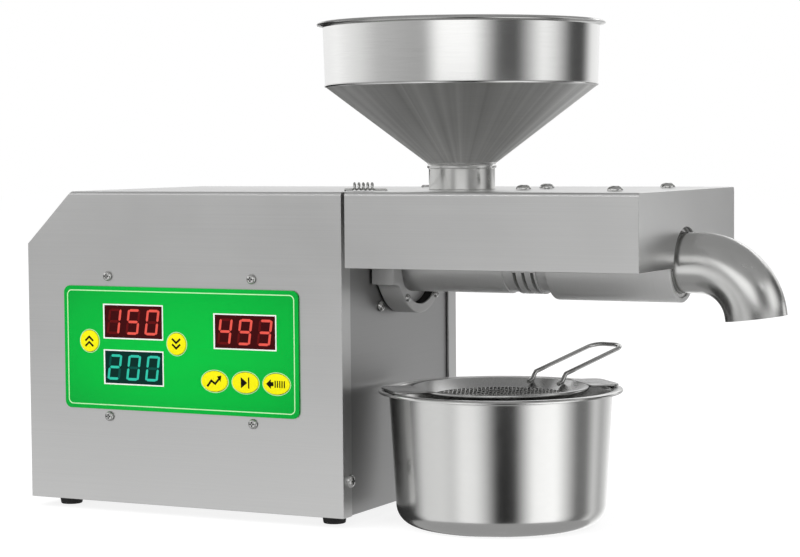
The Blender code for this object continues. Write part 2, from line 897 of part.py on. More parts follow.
def make_buttons():
    cap_front = panel_front_y - button_proud
    stem_back = board_setback - switch_gap - button_travel
    for name, x, z, width, height in button_places():
        cap = flat_mesh(name, [oval((0.0, 0.0), width, height)], button_cap)
        button = place(name, cap, (x, cap_front + button_cap / 2, z), facing_front, yellow_film)
        stem_length = stem_back - cap_front - button_cap / 2
        rod = [(0.0, 0.0, -stem_length, 0.0, button_stem_radius)]
        stem = place(f"{name}_stem", rods_mesh(f"{name}_stem", rod, tiny_steps),
                     (x, cap_front + button_cap / 2, z), facing_front, None)
        join(button, stem)


def make_controller_board():
    left, right = panel_left, panel_left + panel_width
    low = board_screw_low - board_margin
    high = board_screw_high + board_margin
    holes = [circle((x, z), screw_shank_radius + gap, tiny_steps)
             for x in (board_screw_left, board_screw_right) for z in (board_screw_low, board_screw_high)]
    board = place("controller_board",
                  flat_mesh("controller_board", [rectangle(left, low, right, high)] + holes, board_thickness),
                  (0.0, board_setback + board_thickness / 2, 0.0), facing_front, board_green)
    post_front = sheet + gap
    post_length = board_setback + board_thickness / 2 - post_front
    index = 0
    for x in (board_screw_left, board_screw_right):
        for z in (board_screw_low, board_screw_high):
            index += 1
            ring = [circle((x, z), board_post_radius, tiny_steps),
                    circle((x, z), screw_shank_radius + gap, tiny_steps)]
            join(board, place(f"board_post_{index}", flat_mesh(f"board_post_{index}", ring, post_length),
                              (0.0, post_front + post_length / 2, 0.0), facing_front, None))
            shank_end = board_setback + board_thickness + screw_tail
            profile = [(0.0, screw_head_height + gap), (screw_head_radius / 2, screw_head_height + gap),
                       (screw_head_radius, screw_head_height / 2), (screw_head_radius, gap),
                       (screw_shank_radius, gap), (screw_shank_radius, -shank_end), (0.0, -shank_end)]
            turned(f"panel_screw_{index}", profile, (x, 0.0, z), along_front, polished_steel, tiny_steps,
                   closed=False)


def make_power_board():
    front = casing_depth - sheet - gap - power_board_setback
    right = power_board_left + power_board_width
    top = power_board_bottom + power_board_height
    board = place("power_board",
                  box_mesh("power_board", (power_board_left, front, power_board_bottom),
                           (right, front + board_thickness, top)),
                  (0.0, 0.0, 0.0), upright, board_green)
    posts = [(x, z, front, casing_depth - sheet - gap, board_post_radius)
             for x in (power_board_left + board_margin, right - board_margin)
             for z in (power_board_bottom + board_margin, top - board_margin)]
    posts = [(x, z, -end, -start, radius) for x, z, start, end, radius in posts]
    join(board, place("power_board_posts", rods_mesh("power_board_posts", posts, tiny_steps),
                      (0.0, 0.0, 0.0), along_front, None))
    sunk = front + board_thickness / 2
    relay_x = right - board_margin - relay_width
    blocks = [((relay_x, sunk - relay_depth, power_board_bottom + board_margin),
               (relay_x + relay_width, sunk, power_board_bottom + board_margin + relay_height)),
              ((relay_x - heatsink_width - board_margin, sunk - heatsink_depth,
                top - board_margin - heatsink_height),
               (relay_x - board_margin, sunk, top - board_margin))]
    join(board, place("power_board_blocks", boxes_mesh("power_board_blocks", blocks), (0.0, 0.0, 0.0),
                      upright, None))
    can_x = power_board_left + 2 * board_margin + capacitor_radius
    can_z = power_board_bottom + 2 * board_margin + capacitor_radius
    can = [(can_x, can_z, -sunk, capacitor_length - sunk, capacitor_radius)]
    join(board,
         place("power_board_can", rods_mesh("power_board_can", can), (0.0, 0.0, 0.0), along_front, None))


def make_power_inlet():
    outer = casing_depth + gap
    flange = place("power_inlet",
                   box_mesh("power_inlet",
                            (inlet_x - inlet_flange_width / 2, outer, inlet_z - inlet_flange_height / 2),
                            (inlet_x + inlet_flange_width / 2, outer + inlet_flange_thickness,
                             inlet_z + inlet_flange_height / 2)),
                   (0.0, 0.0, 0.0), upright, black_plastic)
    back = outer - inlet_body_depth
    join(flange, place("inlet_body",
                       box_mesh("inlet_body",
                                (inlet_x - inlet_body_width / 2, back, inlet_z - inlet_body_height / 2),
                                (inlet_x + inlet_body_width / 2, outer + inlet_flange_thickness / 2,
                                 inlet_z + inlet_body_height / 2)),
                       (0.0, 0.0, 0.0), upright, None))
    inside = inlet_body_width / 2 - inlet_wall
    cut(flange, place("inlet_socket",
                      box_mesh("inlet_socket",
                               (inlet_x - inside, back + inlet_floor,
                                inlet_z - inlet_body_height / 2 + inlet_wall),
                               (inlet_x + inside, outer + inlet_flange_thickness + overrun,
                                inlet_z + inlet_body_height / 2 - inlet_wall)),
                      (0.0, 0.0, 0.0), upright, None))
    root = back + inlet_floor / 2
    blades = []
    for shift_x, shift_z in ((-blade_pitch, -blade_rise), (0.0, blade_rise), (blade_pitch, -blade_rise)):
        x, z = inlet_x + shift_x, inlet_z + shift_z
        blades.append(((x - blade_thickness / 2, root, z - blade_width / 2),
                       (x + blade_thickness / 2, root + blade_length, z + blade_width / 2)))
    join(flange, place("inlet_blades", boxes_mesh("inlet_blades", blades), (0.0, 0.0, 0.0), upright, None))


def make_power_switch():
    outer = casing_depth + gap
    frame = place("switch_frame",
                  box_mesh("switch_frame",
                           (switch_x - switch_bezel_width / 2, outer, inlet_z - switch_bezel_height / 2),
                           (switch_x + switch_bezel_width / 2, outer + switch_bezel_thickness,
                            inlet_z + switch_bezel_height / 2)),
                  (0.0, 0.0, 0.0), upright, black_plastic)
    back = outer - switch_body_depth
    join(frame, place("switch_body",
                      box_mesh("switch_body",
                               (switch_x - switch_body_width / 2, back, inlet_z - switch_body_height / 2),
                               (switch_x + switch_body_width / 2, outer + switch_bezel_thickness / 2,
                                inlet_z + switch_body_height / 2)),
                      (0.0, 0.0, 0.0), upright, None))
    half_width = switch_body_width / 2 - switch_wall
    half_height = switch_body_height / 2 - switch_wall
    pivot_y = outer + switch_bezel_thickness - rocker_pivot_depth - rocker_face
    floor = pivot_y - rocker_back - rocker_half_height * math.sin(rocker_tilt) - gap
    cut(frame, place("switch_cavity",
                     box_mesh("switch_cavity",
                              (switch_x - half_width, floor, inlet_z - half_height),
                              (switch_x + half_width, outer + switch_bezel_thickness + overrun,
                               inlet_z + half_height)),
                     (0.0, 0.0, 0.0), upright, None))
    outline = [(-rocker_back, -rocker_half_height), (rocker_face, -rocker_half_height), (rocker_dip, 0.0),
               (rocker_face, rocker_half_height), (-rocker_back, rocker_half_height)]
    width = 2 * (half_width - gap)
    hinge = bpy.data.objects.new("switch_pivot", None)
    hinge.location = (switch_x, pivot_y, inlet_z)
    hinge.rotation_euler = (-rocker_tilt, 0.0, 0.0)
    hinge.parent = machine
    parts.objects.link(hinge)
    place("switch_rocker", flat_mesh("switch_rocker", [outline], width), (0.0, 0.0, 0.0), facing_x,
          black_plastic,
          hinge)


def make_fan():
    start = sheet + gap
    middle = start + fan_depth / 2
    half = fan_size / 2
    outline = rounded_rectangle(axis_y - half, fan_z - half, axis_y + half, fan_z + half, fan_corner)
    bore = circle((axis_y, fan_z), fan_bore_radius, round_steps)
    frame = place("fan_frame", flat_mesh("fan_frame", [outline, bore], fan_depth), (middle, 0.0, 0.0),
                  facing_x,
                  black_plastic)
    plate_x = start + fan_depth - fan_plate / 2
    reach = fan_bore_radius + fan_corner
    cross_half = fan_strut_width / 2
    struts = [((start + fan_depth - fan_plate, axis_y - reach, fan_z - cross_half),
               (start + fan_depth, axis_y + reach, fan_z + cross_half)),
              ((start + fan_depth - fan_plate, axis_y - cross_half, fan_z - reach),
               (start + fan_depth, axis_y + cross_half, fan_z + reach))]
    for index, (low, high) in enumerate(struts):
        join(frame,
             place(f"fan_strut_{index}", box_mesh(f"fan_strut_{index}", low, high), (0.0, 0.0, 0.0), upright,
                          None))
    hub_plate = circle((axis_y, fan_z), fan_hub_radius, small_steps)
    join(frame, place("fan_boss", flat_mesh("fan_boss", [hub_plate], fan_plate), (plate_x, 0.0, 0.0),
                      facing_x, None))
    pin_bore = circle((axis_y, fan_z), fan_pin_radius + gap, small_steps)
    cut(frame, place("fan_pin_bore", flat_mesh("fan_pin_bore", [pin_bore], 2 * overrun), (plate_x, 0.0, 0.0),
                     facing_x, None))

    front = start + blade_tip_gap
    back = start + fan_depth - fan_plate - blade_tip_gap
    pin_end = start + fan_depth
    hub = [(0.0, pin_end), (fan_pin_radius, pin_end), (fan_pin_radius, back), (fan_hub_radius, back),
           (fan_hub_radius, front), (0.0, front)]
    rotor = turned("fan_rotor", hub, (0.0, axis_y, fan_z), along_x, black_plastic, small_steps, closed=False)
    shape = bmesh.new()
    inner = fan_hub_radius - blade_tip_gap
    outer = fan_bore_radius - blade_tip_gap
    for index in range(fan_blade_count):
        blade = bmesh.ops.create_cube(shape, size=1.0)["verts"]
        bmesh.ops.scale(shape, vec=(outer - inner, fan_blade_thickness, fan_blade_chord), verts=blade)
        bmesh.ops.rotate(shape, matrix=Matrix.Rotation(fan_blade_pitch, 3, "X"), verts=blade)
        bmesh.ops.translate(shape, vec=((inner + outer) / 2, 0.0, (front + back) / 2), verts=blade)
        bmesh.ops.rotate(shape, matrix=Matrix.Rotation(full_turn * index / fan_blade_count, 3, "Z"),
                         verts=blade)
    join(rotor, place("fan_blades", mesh_from(shape, "fan_blades"), (0.0, axis_y, fan_z), along_x, None))


def make_gear_cluster(name, shaft_z, gear, pinion, low_x, high_x):
    """A gear and a smaller pinion cut on one shaft. Gear and pinion are (teeth, module, phase, x, face)."""
    teeth, module, phase, x, face = gear
    cluster = place(name, flat_mesh(name, [gear_outline(teeth, module, phase)], face), (x, axis_y, shaft_z),
                    facing_x, gear_steel)
    teeth, module, phase, pinion_x, pinion_face = pinion
    reach = abs(pinion_x - x) - face / 2 + pinion_face / 2 + gear_spacing
    direction = 1.0 if pinion_x > x else -1.0
    start = x + direction * (face / 2 - gear_spacing)
    end = pinion_x + direction * pinion_face / 2
    reach = abs(end - start)
    join(cluster,
         place(f"{name}_pinion", flat_mesh(f"{name}_pinion", [gear_outline(teeth, module, phase)], reach),
                        ((start + end) / 2, axis_y, shaft_z), facing_x, None))
    rod = [(0.0, 0.0, low_x, high_x, journal_radius)]
    join(cluster,
         place(f"{name}_shaft", rods_mesh(f"{name}_shaft", rod, round_steps),
               (0.0, axis_y, shaft_z), along_x, None))
    return cluster


def make_gear_train():
    """Each mesh lies on the vertical line between two shafts: a tooth below meets a space above."""
    up = quarter_turn
    down = -quarter_turn
    space = math.pi
    low_x = housing_cavity_x - journal_depth + gap
    high_x = lid_back_x + journal_depth - gap
    make_gear_cluster("first_gear_cluster", first_shaft_z,
                      (first_teeth, first_module, down + space / first_teeth, first_mesh_x, first_face),
                      (pinion_teeth, second_module, up, second_mesh_x, second_face), low_x, high_x)
    make_gear_cluster("second_gear_cluster", second_shaft_z,
                      (second_teeth, second_module, down + space / second_teeth, second_mesh_x, second_face),
                      (pinion_teeth, third_module, up, third_mesh_x, third_face), low_x, high_x)
    teeth = gear_outline(output_teeth, third_module, down + space / output_teeth)
    bore = circle((0.0, 0.0), shaft_radius + gap, round_steps)
    place("output_gear", flat_mesh("output_gear", [teeth, bore], third_face), (third_mesh_x, axis_y, axis_z),
          facing_x, gear_steel)


def make_gearbox():
    length = housing_front_x - housing_back_x
    housing = place("gearbox_housing", flat_mesh("gearbox_housing", [gearbox_outline(0.0)], length),
                    (housing_back_x + length / 2, 0.0, 0.0), facing_x, cast_aluminium)
    boss_radius = rear_bearing_radius + boss_wall
    boss = [(0.0, 0.0, housing_back_x - boss_depth, housing_cavity_x, boss_radius)]
    join(housing,
         place("housing_boss", rods_mesh("housing_boss", boss, round_steps), (0.0, axis_y, axis_z), along_x,
                        None))
    hollow = cavity_depth + overrun
    cut(housing, place("housing_cavity", flat_mesh("housing_cavity", [gearbox_outline(gearbox_wall)], hollow),
                       (housing_cavity_x + hollow / 2, 0.0, 0.0), facing_x, None))
    bearing_seat = rear_bearing_start() - gap
    seat = [(0.0, 0.0, bearing_seat, housing_cavity_x + overrun, rear_bearing_radius + gap)]
    cut(housing, place("rear_bearing_bore", rods_mesh("rear_bearing_bore", seat, round_steps),
                       (0.0, axis_y, axis_z), along_x, None))
    for name, z in (("first", first_shaft_z), ("second", second_shaft_z)):
        bore = [(0.0, 0.0, housing_cavity_x - journal_depth, housing_cavity_x + overrun,
                 journal_radius + gap)]
        cut(housing,
            place(f"{name}_rear_bore", rods_mesh(f"{name}_rear_bore", bore, round_steps), (0.0, axis_y, z),
                  along_x, None))
    entry = [(0.0, 0.0, housing_back_x - overrun, housing_cavity_x + overrun, motor_bore_radius)]
    cut(housing, place("motor_entry", rods_mesh("motor_entry", entry), (0.0, axis_y, motor_z), along_x, None))

    lid = place("gearbox_lid", flat_mesh("gearbox_lid", [gearbox_outline(0.0)], lid_thickness),
                (lid_back_x + lid_thickness / 2, 0.0, 0.0), facing_x, cast_aluminium)
    nose = [(0.0, 0.0, lid_back_x - overrun, lid_front_x + overrun, shaft_radius + 2 * gap)]
    cut(lid, place("lid_shaft_hole", rods_mesh("lid_shaft_hole", nose, round_steps), (0.0, axis_y, axis_z),
                   along_x,
                   None))
    seat = [(0.0, 0.0, lid_back_x - overrun, front_bearing_start() + front_bearing_width + gap,
             front_bearing_radius + gap)]
    cut(lid, place("front_bearing_bore", rods_mesh("front_bearing_bore", seat, round_steps),
                   (0.0, axis_y, axis_z), along_x, None))
    for name, z in (("first", first_shaft_z), ("second", second_shaft_z)):
        bore = [(0.0, 0.0, lid_back_x - overrun, lid_back_x + journal_depth, journal_radius + gap)]
        cut(lid, place(f"{name}_front_bore", rods_mesh(f"{name}_front_bore", bore, round_steps),
                       (0.0, axis_y, z), along_x, None))


def rear_bearing_start():
    return housing_cavity_x - rear_bearing_width - gap


def front_bearing_start():
    return lid_back_x + gap


def bearing_profile(outer, inner, width):
    """A ball bearing as one turned ring, with the groove between its races on the open face."""
    middle = (outer + inner) / 2
    half = (outer - inner) / 6
    groove = bearing_groove
    return [(outer, width), (outer, 0.0), (inner, 0.0), (inner, width), (middle - half, width),
            (middle - half, width - groove), (middle + half, width - groove), (middle + half, width)]


def make_press_shaft():
    tail_start = rear_bearing_start()
    shoulder = housing_cavity_x + gap
    nose = seat_back_x + shaft_nose
    profile = [(0.0, nose), (shaft_radius, nose), (shaft_radius, shoulder), (shaft_tail_radius, shoulder),
               (shaft_tail_radius, tail_start), (0.0, tail_start)]
    shaft = turned("output_shaft", profile, (0.0, axis_y, axis_z), along_x, gear_steel, round_steps,
                   closed=False)
    half = socket_width / 2
    cut(shaft, place("tang_socket", box_mesh("tang_socket", (nose - socket_depth, -half, -half),
                                             (nose + overrun, half, half)),
                     (0.0, axis_y, axis_z), upright, None))
    turned("output_bearing_rear",
           bearing_profile(rear_bearing_radius, shaft_tail_radius + gap, rear_bearing_width),
           (tail_start, axis_y, axis_z), along_x, polished_steel)
    turned("output_bearing_front",
           bearing_profile(front_bearing_radius, shaft_radius + gap, front_bearing_width),
           (front_bearing_start(), axis_y, axis_z), along_x, polished_steel)


def make_motor():
    front = housing_back_x - gap
    back = front - motor_length
    bell_joint = back + bell_length
    at = (0.0, axis_y, motor_z)
    inner = motor_radius - motor_wall
    hole = armature_shaft_radius + gap
    can = [(motor_radius, front), (motor_radius, bell_joint), (inner, bell_joint),
           (inner, front - motor_front_wall),
           (hole, front - motor_front_wall), (hole, front)]
    turned("motor_can", can, at, along_x, motor_paint)
    rim = inner - gap
    lip = bell_joint - gap
    bell = [(rim, lip + bell_step), (rim, lip), (motor_radius, lip), (motor_radius, back + bell_step),
            (motor_radius - bell_step, back), (hole, back), (hole, back + motor_front_wall),
            (rim - motor_wall, back + motor_front_wall), (rim - motor_wall, lip + bell_step)]
    turned("motor_end_bell", bell, at, along_x, cast_aluminium)
    stack_front = front - armature_front_space
    stack_back = stack_front - armature_length
    collector_front = stack_back - gear_spacing
    collector_back = collector_front - commutator_length
    pinion_end = first_mesh_x + first_face / 2
    shaft_end = pinion_end + gear_spacing / 2
    shaft = armature_shaft_radius
    profile = [(0.0, shaft_end), (shaft, shaft_end), (shaft, stack_front), (armature_radius, stack_front),
               (armature_radius, stack_back), (shaft, stack_back), (shaft, collector_front),
               (commutator_radius, collector_front), (commutator_radius, collector_back),
               (shaft, collector_back), (shaft, back + gap), (0.0, back + gap)]
    armature = turned("armature", profile, at, along_x, copper_red, round_steps, closed=False)
    outline = gear_outline(pinion_teeth, first_module, quarter_turn)
    face = first_face
    join(armature, place("motor_pinion", flat_mesh("motor_pinion", [outline], face),
                         (first_mesh_x, axis_y, motor_z), facing_x, None))


def make_seat_flange():
    thick = seat_thickness
    ring = circle((axis_y, axis_z), seat_radius, wide_steps)
    seat = place("seat_flange", flat_mesh("seat_flange", [ring], thick), (seat_back_x + thick / 2, 0.0, 0.0),
                 facing_x, cast_metal)
    ears = rounded_rectangle(axis_y - seat_ear_reach, axis_z - seat_ear_half_height, axis_y + seat_ear_reach,
                             axis_z + seat_ear_half_height, seat_ear_corner)
    join(seat, place("seat_ears", flat_mesh("seat_ears", [ears], thick), (seat_back_x + thick / 2, 0.0, 0.0),
                     facing_x, None))
    bore = [(0.0, 0.0, seat_back_x + seat_back_wall, seat_front_x + overrun, seat_bore_radius)]
    cut(seat,
        place("seat_bore", rods_mesh("seat_bore", bore, wide_steps), (0.0, axis_y, axis_z), along_x, None))
    hole = [(0.0, 0.0, seat_back_x - overrun, seat_front_x, seat_shaft_hole)]
    cut(seat, place("seat_shaft_hole", rods_mesh("seat_shaft_hole", hole, round_steps), (0.0, axis_y, axis_z),
                    along_x, None))


def make_barrel():
    outer = barrel_radius
    low = barrel_radius - relief_depth
    collar_end = barrel_start + barrel_collar_width
    second_end = second_relief_start + second_relief_width
    first_end = first_relief_start + first_relief_width
    profile = [(outer, barrel_end), (outer, second_end), (low, second_end), (low, second_relief_start),
               (outer, second_relief_start), (outer, first_end), (low, first_end), (low, first_relief_start),
               (outer, first_relief_start), (outer, collar_end), (barrel_collar_radius, collar_end),
               (barrel_collar_radius, barrel_start), (0.0, barrel_start)]
    profile.insert(0, (0.0, barrel_end))
    barrel = turned("barrel", profile, (0.0, axis_y, axis_z), along_x, brushed_steel, barrel_steps,
                    closed=False)
    boss = [(hopper_x, axis_y, axis_z, axis_z + barrel_radius + feed_boss_height, feed_boss_radius)]
    join(barrel,
         place("feed_boss", rods_mesh("feed_boss", boss, round_steps), (0.0, 0.0, 0.0), upright, None))
    feed = [(hopper_x, axis_y, axis_z + barrel_bore_radius / 3,
             axis_z + barrel_radius + feed_boss_height + overrun,
             feed_hole_radius)]
    cut(barrel, place("feed_hole", rods_mesh("feed_hole", feed, round_steps), (0.0, 0.0, 0.0), upright, None))
    core = [(0.0, 0.0, barrel_start - overrun, barrel_end + overrun, barrel_bore_radius)]
    cut(barrel, place("barrel_bore", rods_mesh("barrel_bore", core, barrel_steps), (0.0, axis_y, axis_z),
                      along_x, None))
    slots = []
    for index in range(slot_count):
        x = slot_first + index * slot_pitch
        slots.append(((x - slot_width / 2, axis_y - barrel_radius - overrun,
                       axis_z - barrel_radius - overrun),
                      (x + slot_width / 2, axis_y + barrel_radius + overrun, axis_z - slot_top)))
    cut(barrel, place("oil_slots", boxes_mesh("oil_slots", slots), (0.0, 0.0, 0.0), upright, None))
    pit_floor = axis_z + barrel_radius - probe_seat
    pit = [(probe_x, axis_y, pit_floor, pit_floor + probe_length, probe_radius + gap)]
    cut(barrel, place("probe_pit", rods_mesh("probe_pit", pit), (0.0, 0.0, 0.0), upright, None))
    tip = pit_floor + gap
    top = tip + probe_length
    probe = [(0.0, top), (probe_head_radius, top), (probe_head_radius, top - probe_head_length),
             (probe_radius, top - probe_head_length), (probe_radius, tip), (0.0, tip)]
    turned("temperature_probe", probe, (probe_x, axis_y, 0.0), upright, polished_steel, small_steps,
           closed=False)


def screw_root(x, start, end):
    share = (x - start) / (end - start)
    return screw_root_feed + (screw_root_outlet - screw_root_feed) * share


def make_press_screw():
    nose = seat_back_x + shaft_nose
    tang_start = nose - socket_depth + gap
    collar_start = nose + gap
    collar_end = collar_start + screw_collar_length
    flight_length = screw_flight_pitch * screw_flight_turns
    tip_end = barrel_end
    tip_start = tip_end - screw_tip_length
    profile = [(0.0, tip_end), (screw_tip_radius, tip_end), (screw_root_outlet, tip_start),
               (screw_root_feed, collar_end), (screw_radius, collar_end), (screw_radius, collar_start),
               (0.0, collar_start)]
    screw = turned("press_screw", profile, (0.0, axis_y, axis_z), along_x, gear_steel, screw_flight_steps,
                   closed=False)
    half = tang_width / 2
    join(screw, place("screw_tang",
                      box_mesh("screw_tang", (tang_start, -half, -half), (collar_start + gap, half, half)),
                      (0.0, axis_y, axis_z), upright, None))
    shape = bmesh.new()
    start = collar_end - flight_root_width / 2
    root = screw_root_feed - flight_sink
    section = [shape.verts.new((root, 0.0, start)), shape.verts.new((root, 0.0, start + flight_root_width)),
               shape.verts.new((screw_radius, 0.0, start + (flight_root_width + flight_tip_width) / 2)),
               shape.verts.new((screw_radius, 0.0, start + (flight_root_width - flight_tip_width) / 2))]
    face = shape.faces.new(section)
    steps = screw_flight_turns * screw_flight_steps
    room = tip_start - start - flight_root_width
    advance = min(flight_length, room) / steps
    bmesh.ops.spin(shape, geom=[face] + list(face.edges) + section, cent=(0.0, 0.0, 0.0),
                   axis=(0.0, 0.0, 1.0),
                   dvec=(0.0, 0.0,
                         advance), angle=full_turn * screw_flight_turns, steps=steps, use_merge=False)
    join(screw, place("screw_flight", mesh_from(shape, "screw_flight"), (0.0, axis_y, axis_z), along_x, None))


def make_heater_band():
    inner = barrel_radius + gap
    end = heater_start + heater_length
    profile = [(heater_radius, end), (heater_radius, heater_start), (inner, heater_start), (inner, end)]
    band = turned("heater_band", profile, (0.0, axis_y, axis_z), along_x, brushed_steel, barrel_steps)
    middle = heater_start + heater_length / 2
    lug_low = axis_z + (inner + heater_radius) / 2
    lug_half = heater_slit / 2 + clamp_lug_thickness
    block = ((middle - clamp_lug_length / 2, axis_y - lug_half, lug_low),
             (middle + clamp_lug_length / 2, axis_y + lug_half, axis_z + heater_radius + clamp_lug_height))
    join(band, place("clamp_lugs", box_mesh("clamp_lugs", *block), (0.0, 0.0, 0.0), upright, None))
    slit = ((heater_start - overrun, axis_y - heater_slit / 2, axis_z),
            (end + overrun, axis_y + heater_slit / 2, axis_z + heater_radius + clamp_lug_height + overrun))
    cut(band, place("heater_slit", box_mesh("heater_slit", *slit), (0.0, 0.0, 0.0), upright, None))


def pipe_line(extra):
    """Centre line of the outlet pipe, lengthened by extra at both ends."""
    points = [(pipe_start - extra, 0.0, 0.0)]
    for step in range(pipe_bend_steps + 1):
        angle = pipe_bend_angle * step / pipe_bend_steps
        points.append((pipe_bend_start + pipe_bend_radius * math.sin(angle), 0.0,
                       -pipe_bend_radius * (1 - math.cos(angle))))
    x, _, z = points[-1]
    straight = pipe_lip + extra
    points.append((x + straight * math.cos(pipe_bend_angle), 0.0, z - straight * math.sin(pipe_bend_angle)))
    return points


def make_outlet_elbow():
    at = (0.0, axis_y, axis_z)
    elbow = place("outlet_elbow", wire_mesh("outlet_elbow", pipe_line(0.0), pipe_radius, pipe_sides), at,
                  upright,
                  polished_steel)
    collar = [(0.0, 0.0, pipe_start, pipe_start + pipe_collar_length, barrel_radius)]
    join(elbow, place("pipe_collar", rods_mesh("pipe_collar", collar, barrel_steps), at, along_x, None))
    bore = wire_mesh("pipe_bore", pipe_line(overrun), pipe_radius - pipe_wall, pipe_sides)
    cut(elbow, place("pipe_bore", bore, at, upright, None))


def make_hood():
    outline = rounded_top(0.0, casing_top - hood_height, hood_depth, casing_top, fold_radius)
    hood = place("hood", flat_mesh("hood", [outline], hood_length), (hood_left + hood_length / 2, 0.0, 0.0),
                 facing_x,
                 brushed_steel)
    inner = rounded_top(sheet, casing_top - hood_height - overrun, hood_depth - sheet, hood_underside,
                        fold_radius - sheet)
    hollow = hood_length - sheet + overrun
    cut(hood, place("hood_hollow", flat_mesh("hood_hollow", [inner], hollow),
                    (hood_right - sheet - hollow / 2, 0.0, 0.0), facing_x, None))
    centre = (axis_y, axis_z - hood_arch_drop)
    arch = arc(centre, hood_arch_radius, 0.0, math.pi, wide_steps // 2)
    arch += [(centre[0] - hood_arch_radius, casing_top - hood_height - overrun),
             (centre[0] + hood_arch_radius, casing_top - hood_height - overrun)]
    cut(hood, place("hood_arch", flat_mesh("hood_arch", [arch], 2 * overrun), (hood_right, 0.0, 0.0),
                    facing_x, None))
    low, high = hood_underside - overrun, casing_top + overrun
    neck = [(hopper_x, axis_y, low, high, neck_hole_radius)]
    cut(hood, place("hood_neck_hole", rods_mesh("hood_neck_hole", neck, round_steps), (0.0, 0.0, 0.0),
                    upright, None))
    holes = [(spring_right_hook, y, low, high, spring_wire_radius + 2 * gap)
             for y in (spring_front_y, spring_back_y)]
    holes += [(x, y, low, high, screw_shank_radius + gap) for _, x, y in hood_screw_places()]
    cut(hood, place("hood_small_holes", rods_mesh("hood_small_holes", holes, tiny_steps), (0.0, 0.0, 0.0),
                    upright, None))


def hood_screw_places():
    middle = hood_depth / 2
    rows = ((inner_saddle_x, inner_screw_offset), (outer_saddle_x, outer_screw_offset))
    index = 0
    for x, offset in rows:
        for side in (-1, 1):
            index += 1
            yield f"hood_screw_{index}", x, middle + side * offset


def make_saddle(name, x, half_width, arc_radius):
    """An angle bracket under the hood whose arch rests on the round piece below it."""
    top = hood_underside - gap
    middle = hood_depth / 2
    foot = axis_z + saddle_drop
    start = math.asin((foot - axis_z) / arc_radius)
    outline = [(middle - half_width, top), (middle - half_width, foot)]
    outline += arc((axis_y, axis_z), arc_radius, math.pi - start, start, barrel_steps // 2)
    outline += [(middle + half_width, foot), (middle + half_width, top)]
    saddle = place(name, flat_mesh(name, [outline], saddle_flange), (x, 0.0, 0.0), facing_x, brushed_steel)
    space = ((x - saddle_flange / 2 - overrun, middle - half_width - overrun, foot - overrun),
             (x + saddle_flange / 2 - saddle_sheet, middle + half_width + overrun, top - saddle_sheet))
    cut(saddle, place(f"{name}_space", box_mesh(f"{name}_space", *space), (0.0, 0.0, 0.0), upright, None))
    holes = [(screw_x, y, top - overrun, top + overrun, screw_shank_radius + gap)
             for _, screw_x, y in hood_screw_places() if screw_x == x]
    cut(saddle,
        place(f"{name}_holes", rods_mesh(f"{name}_holes", holes, tiny_steps), (0.0, 0.0, 0.0), upright,
                      None))


def make_hood_fittings():
    make_saddle("hood_saddle_inner", inner_saddle_x, inner_saddle_half, barrel_radius + gap)
    make_saddle("hood_saddle_outer", outer_saddle_x, outer_saddle_half, heater_radius + gap)
    seat = casing_top + gap
    tail = hood_underside - gap - saddle_sheet - screw_tail
    profile = [(0.0, seat + dome_height), (dome_radius / 2, seat + dome_height),
               (dome_radius, seat + dome_height / 2),
               (dome_radius, seat), (screw_shank_radius, seat), (screw_shank_radius, tail), (0.0, tail)]
    for name, x, y in hood_screw_places():
        turned(name, profile, (x, y, 0.0), upright, polished_steel, tiny_steps, closed=False)


def spring_line():
    """Hook down through the casing top, coil along X, hook down through the hood top."""
    middle = casing_top + gap + spring_wire_radius + spring_radius
    low = casing_top - spring_hook_depth
    loop_x = spring_left_hook + spring_radius
    points = [(spring_left_hook, 0.0, low), (spring_left_hook, 0.0, casing_top)]
    for x, z in arc((loop_x, middle), spring_radius, math.pi, quarter_turn, 3):
        points.append((x, 0.0, z))
    steps = spring_turns * spring_turn_points
    for step in range(steps + 1):
        angle = quarter_turn + full_turn * step / spring_turn_points
        points.append((spring_coil_start + spring_coil_length * step / steps,
                       spring_radius * math.cos(angle), middle + spring_radius * math.sin(angle)))
    rest = middle - spring_radius
    coil_end = spring_coil_start + spring_coil_length
    points += [((coil_end + spring_right_hook) / 2, 0.0, middle - spring_radius / 2),
               (spring_right_hook - spring_radius, 0.0, rest + spring_wire_radius),
               (spring_right_hook - spring_wire_radius, 0.0, rest + spring_wire_radius / 2),
               (spring_right_hook, 0.0, casing_top - spring_wire_radius), (spring_right_hook, 0.0, low)]
    return points


def make_springs():
    for name, y in (("hood_spring_front", spring_front_y), ("hood_spring_back", spring_back_y)):
        place(name, wire_mesh(name, spring_line(), spring_wire_radius, wire_sides), (0.0, y, 0.0), upright,
              polished_steel)


def make_hopper():
    wall = hopper_wall
    bottom = axis_z + barrel_radius + gap
    flare = hopper_top - hopper_rim_height
    bead_top = hopper_neck_top
    bead_low = hopper_neck_top - hopper_bead_height
    rim, mouth, band, neck = hopper_rim_radius, hopper_mouth_radius, hopper_band_radius, hopper_neck_radius
    lean = wall * (band - neck) / math.hypot(band - neck, hopper_band_bottom - hopper_neck_top)
    profile = [(rim - wall, hopper_top), (rim, hopper_top - wall), (rim, flare),
               (rim - wall, flare - wall / 2),
               (mouth, flare - wall), (band, hopper_band_bottom), (neck + hopper_bead, bead_top),
               (neck + hopper_bead, bead_low), (neck, bead_low), (neck, bottom), (neck - wall, bottom),
               (neck - wall, bead_top + lean), (band - wall, hopper_band_bottom + lean),
               (mouth - wall, flare), (mouth, hopper_top)]
    turned("hopper", profile, (hopper_x, axis_y, 0.0), upright, polished_steel, wide_steps)


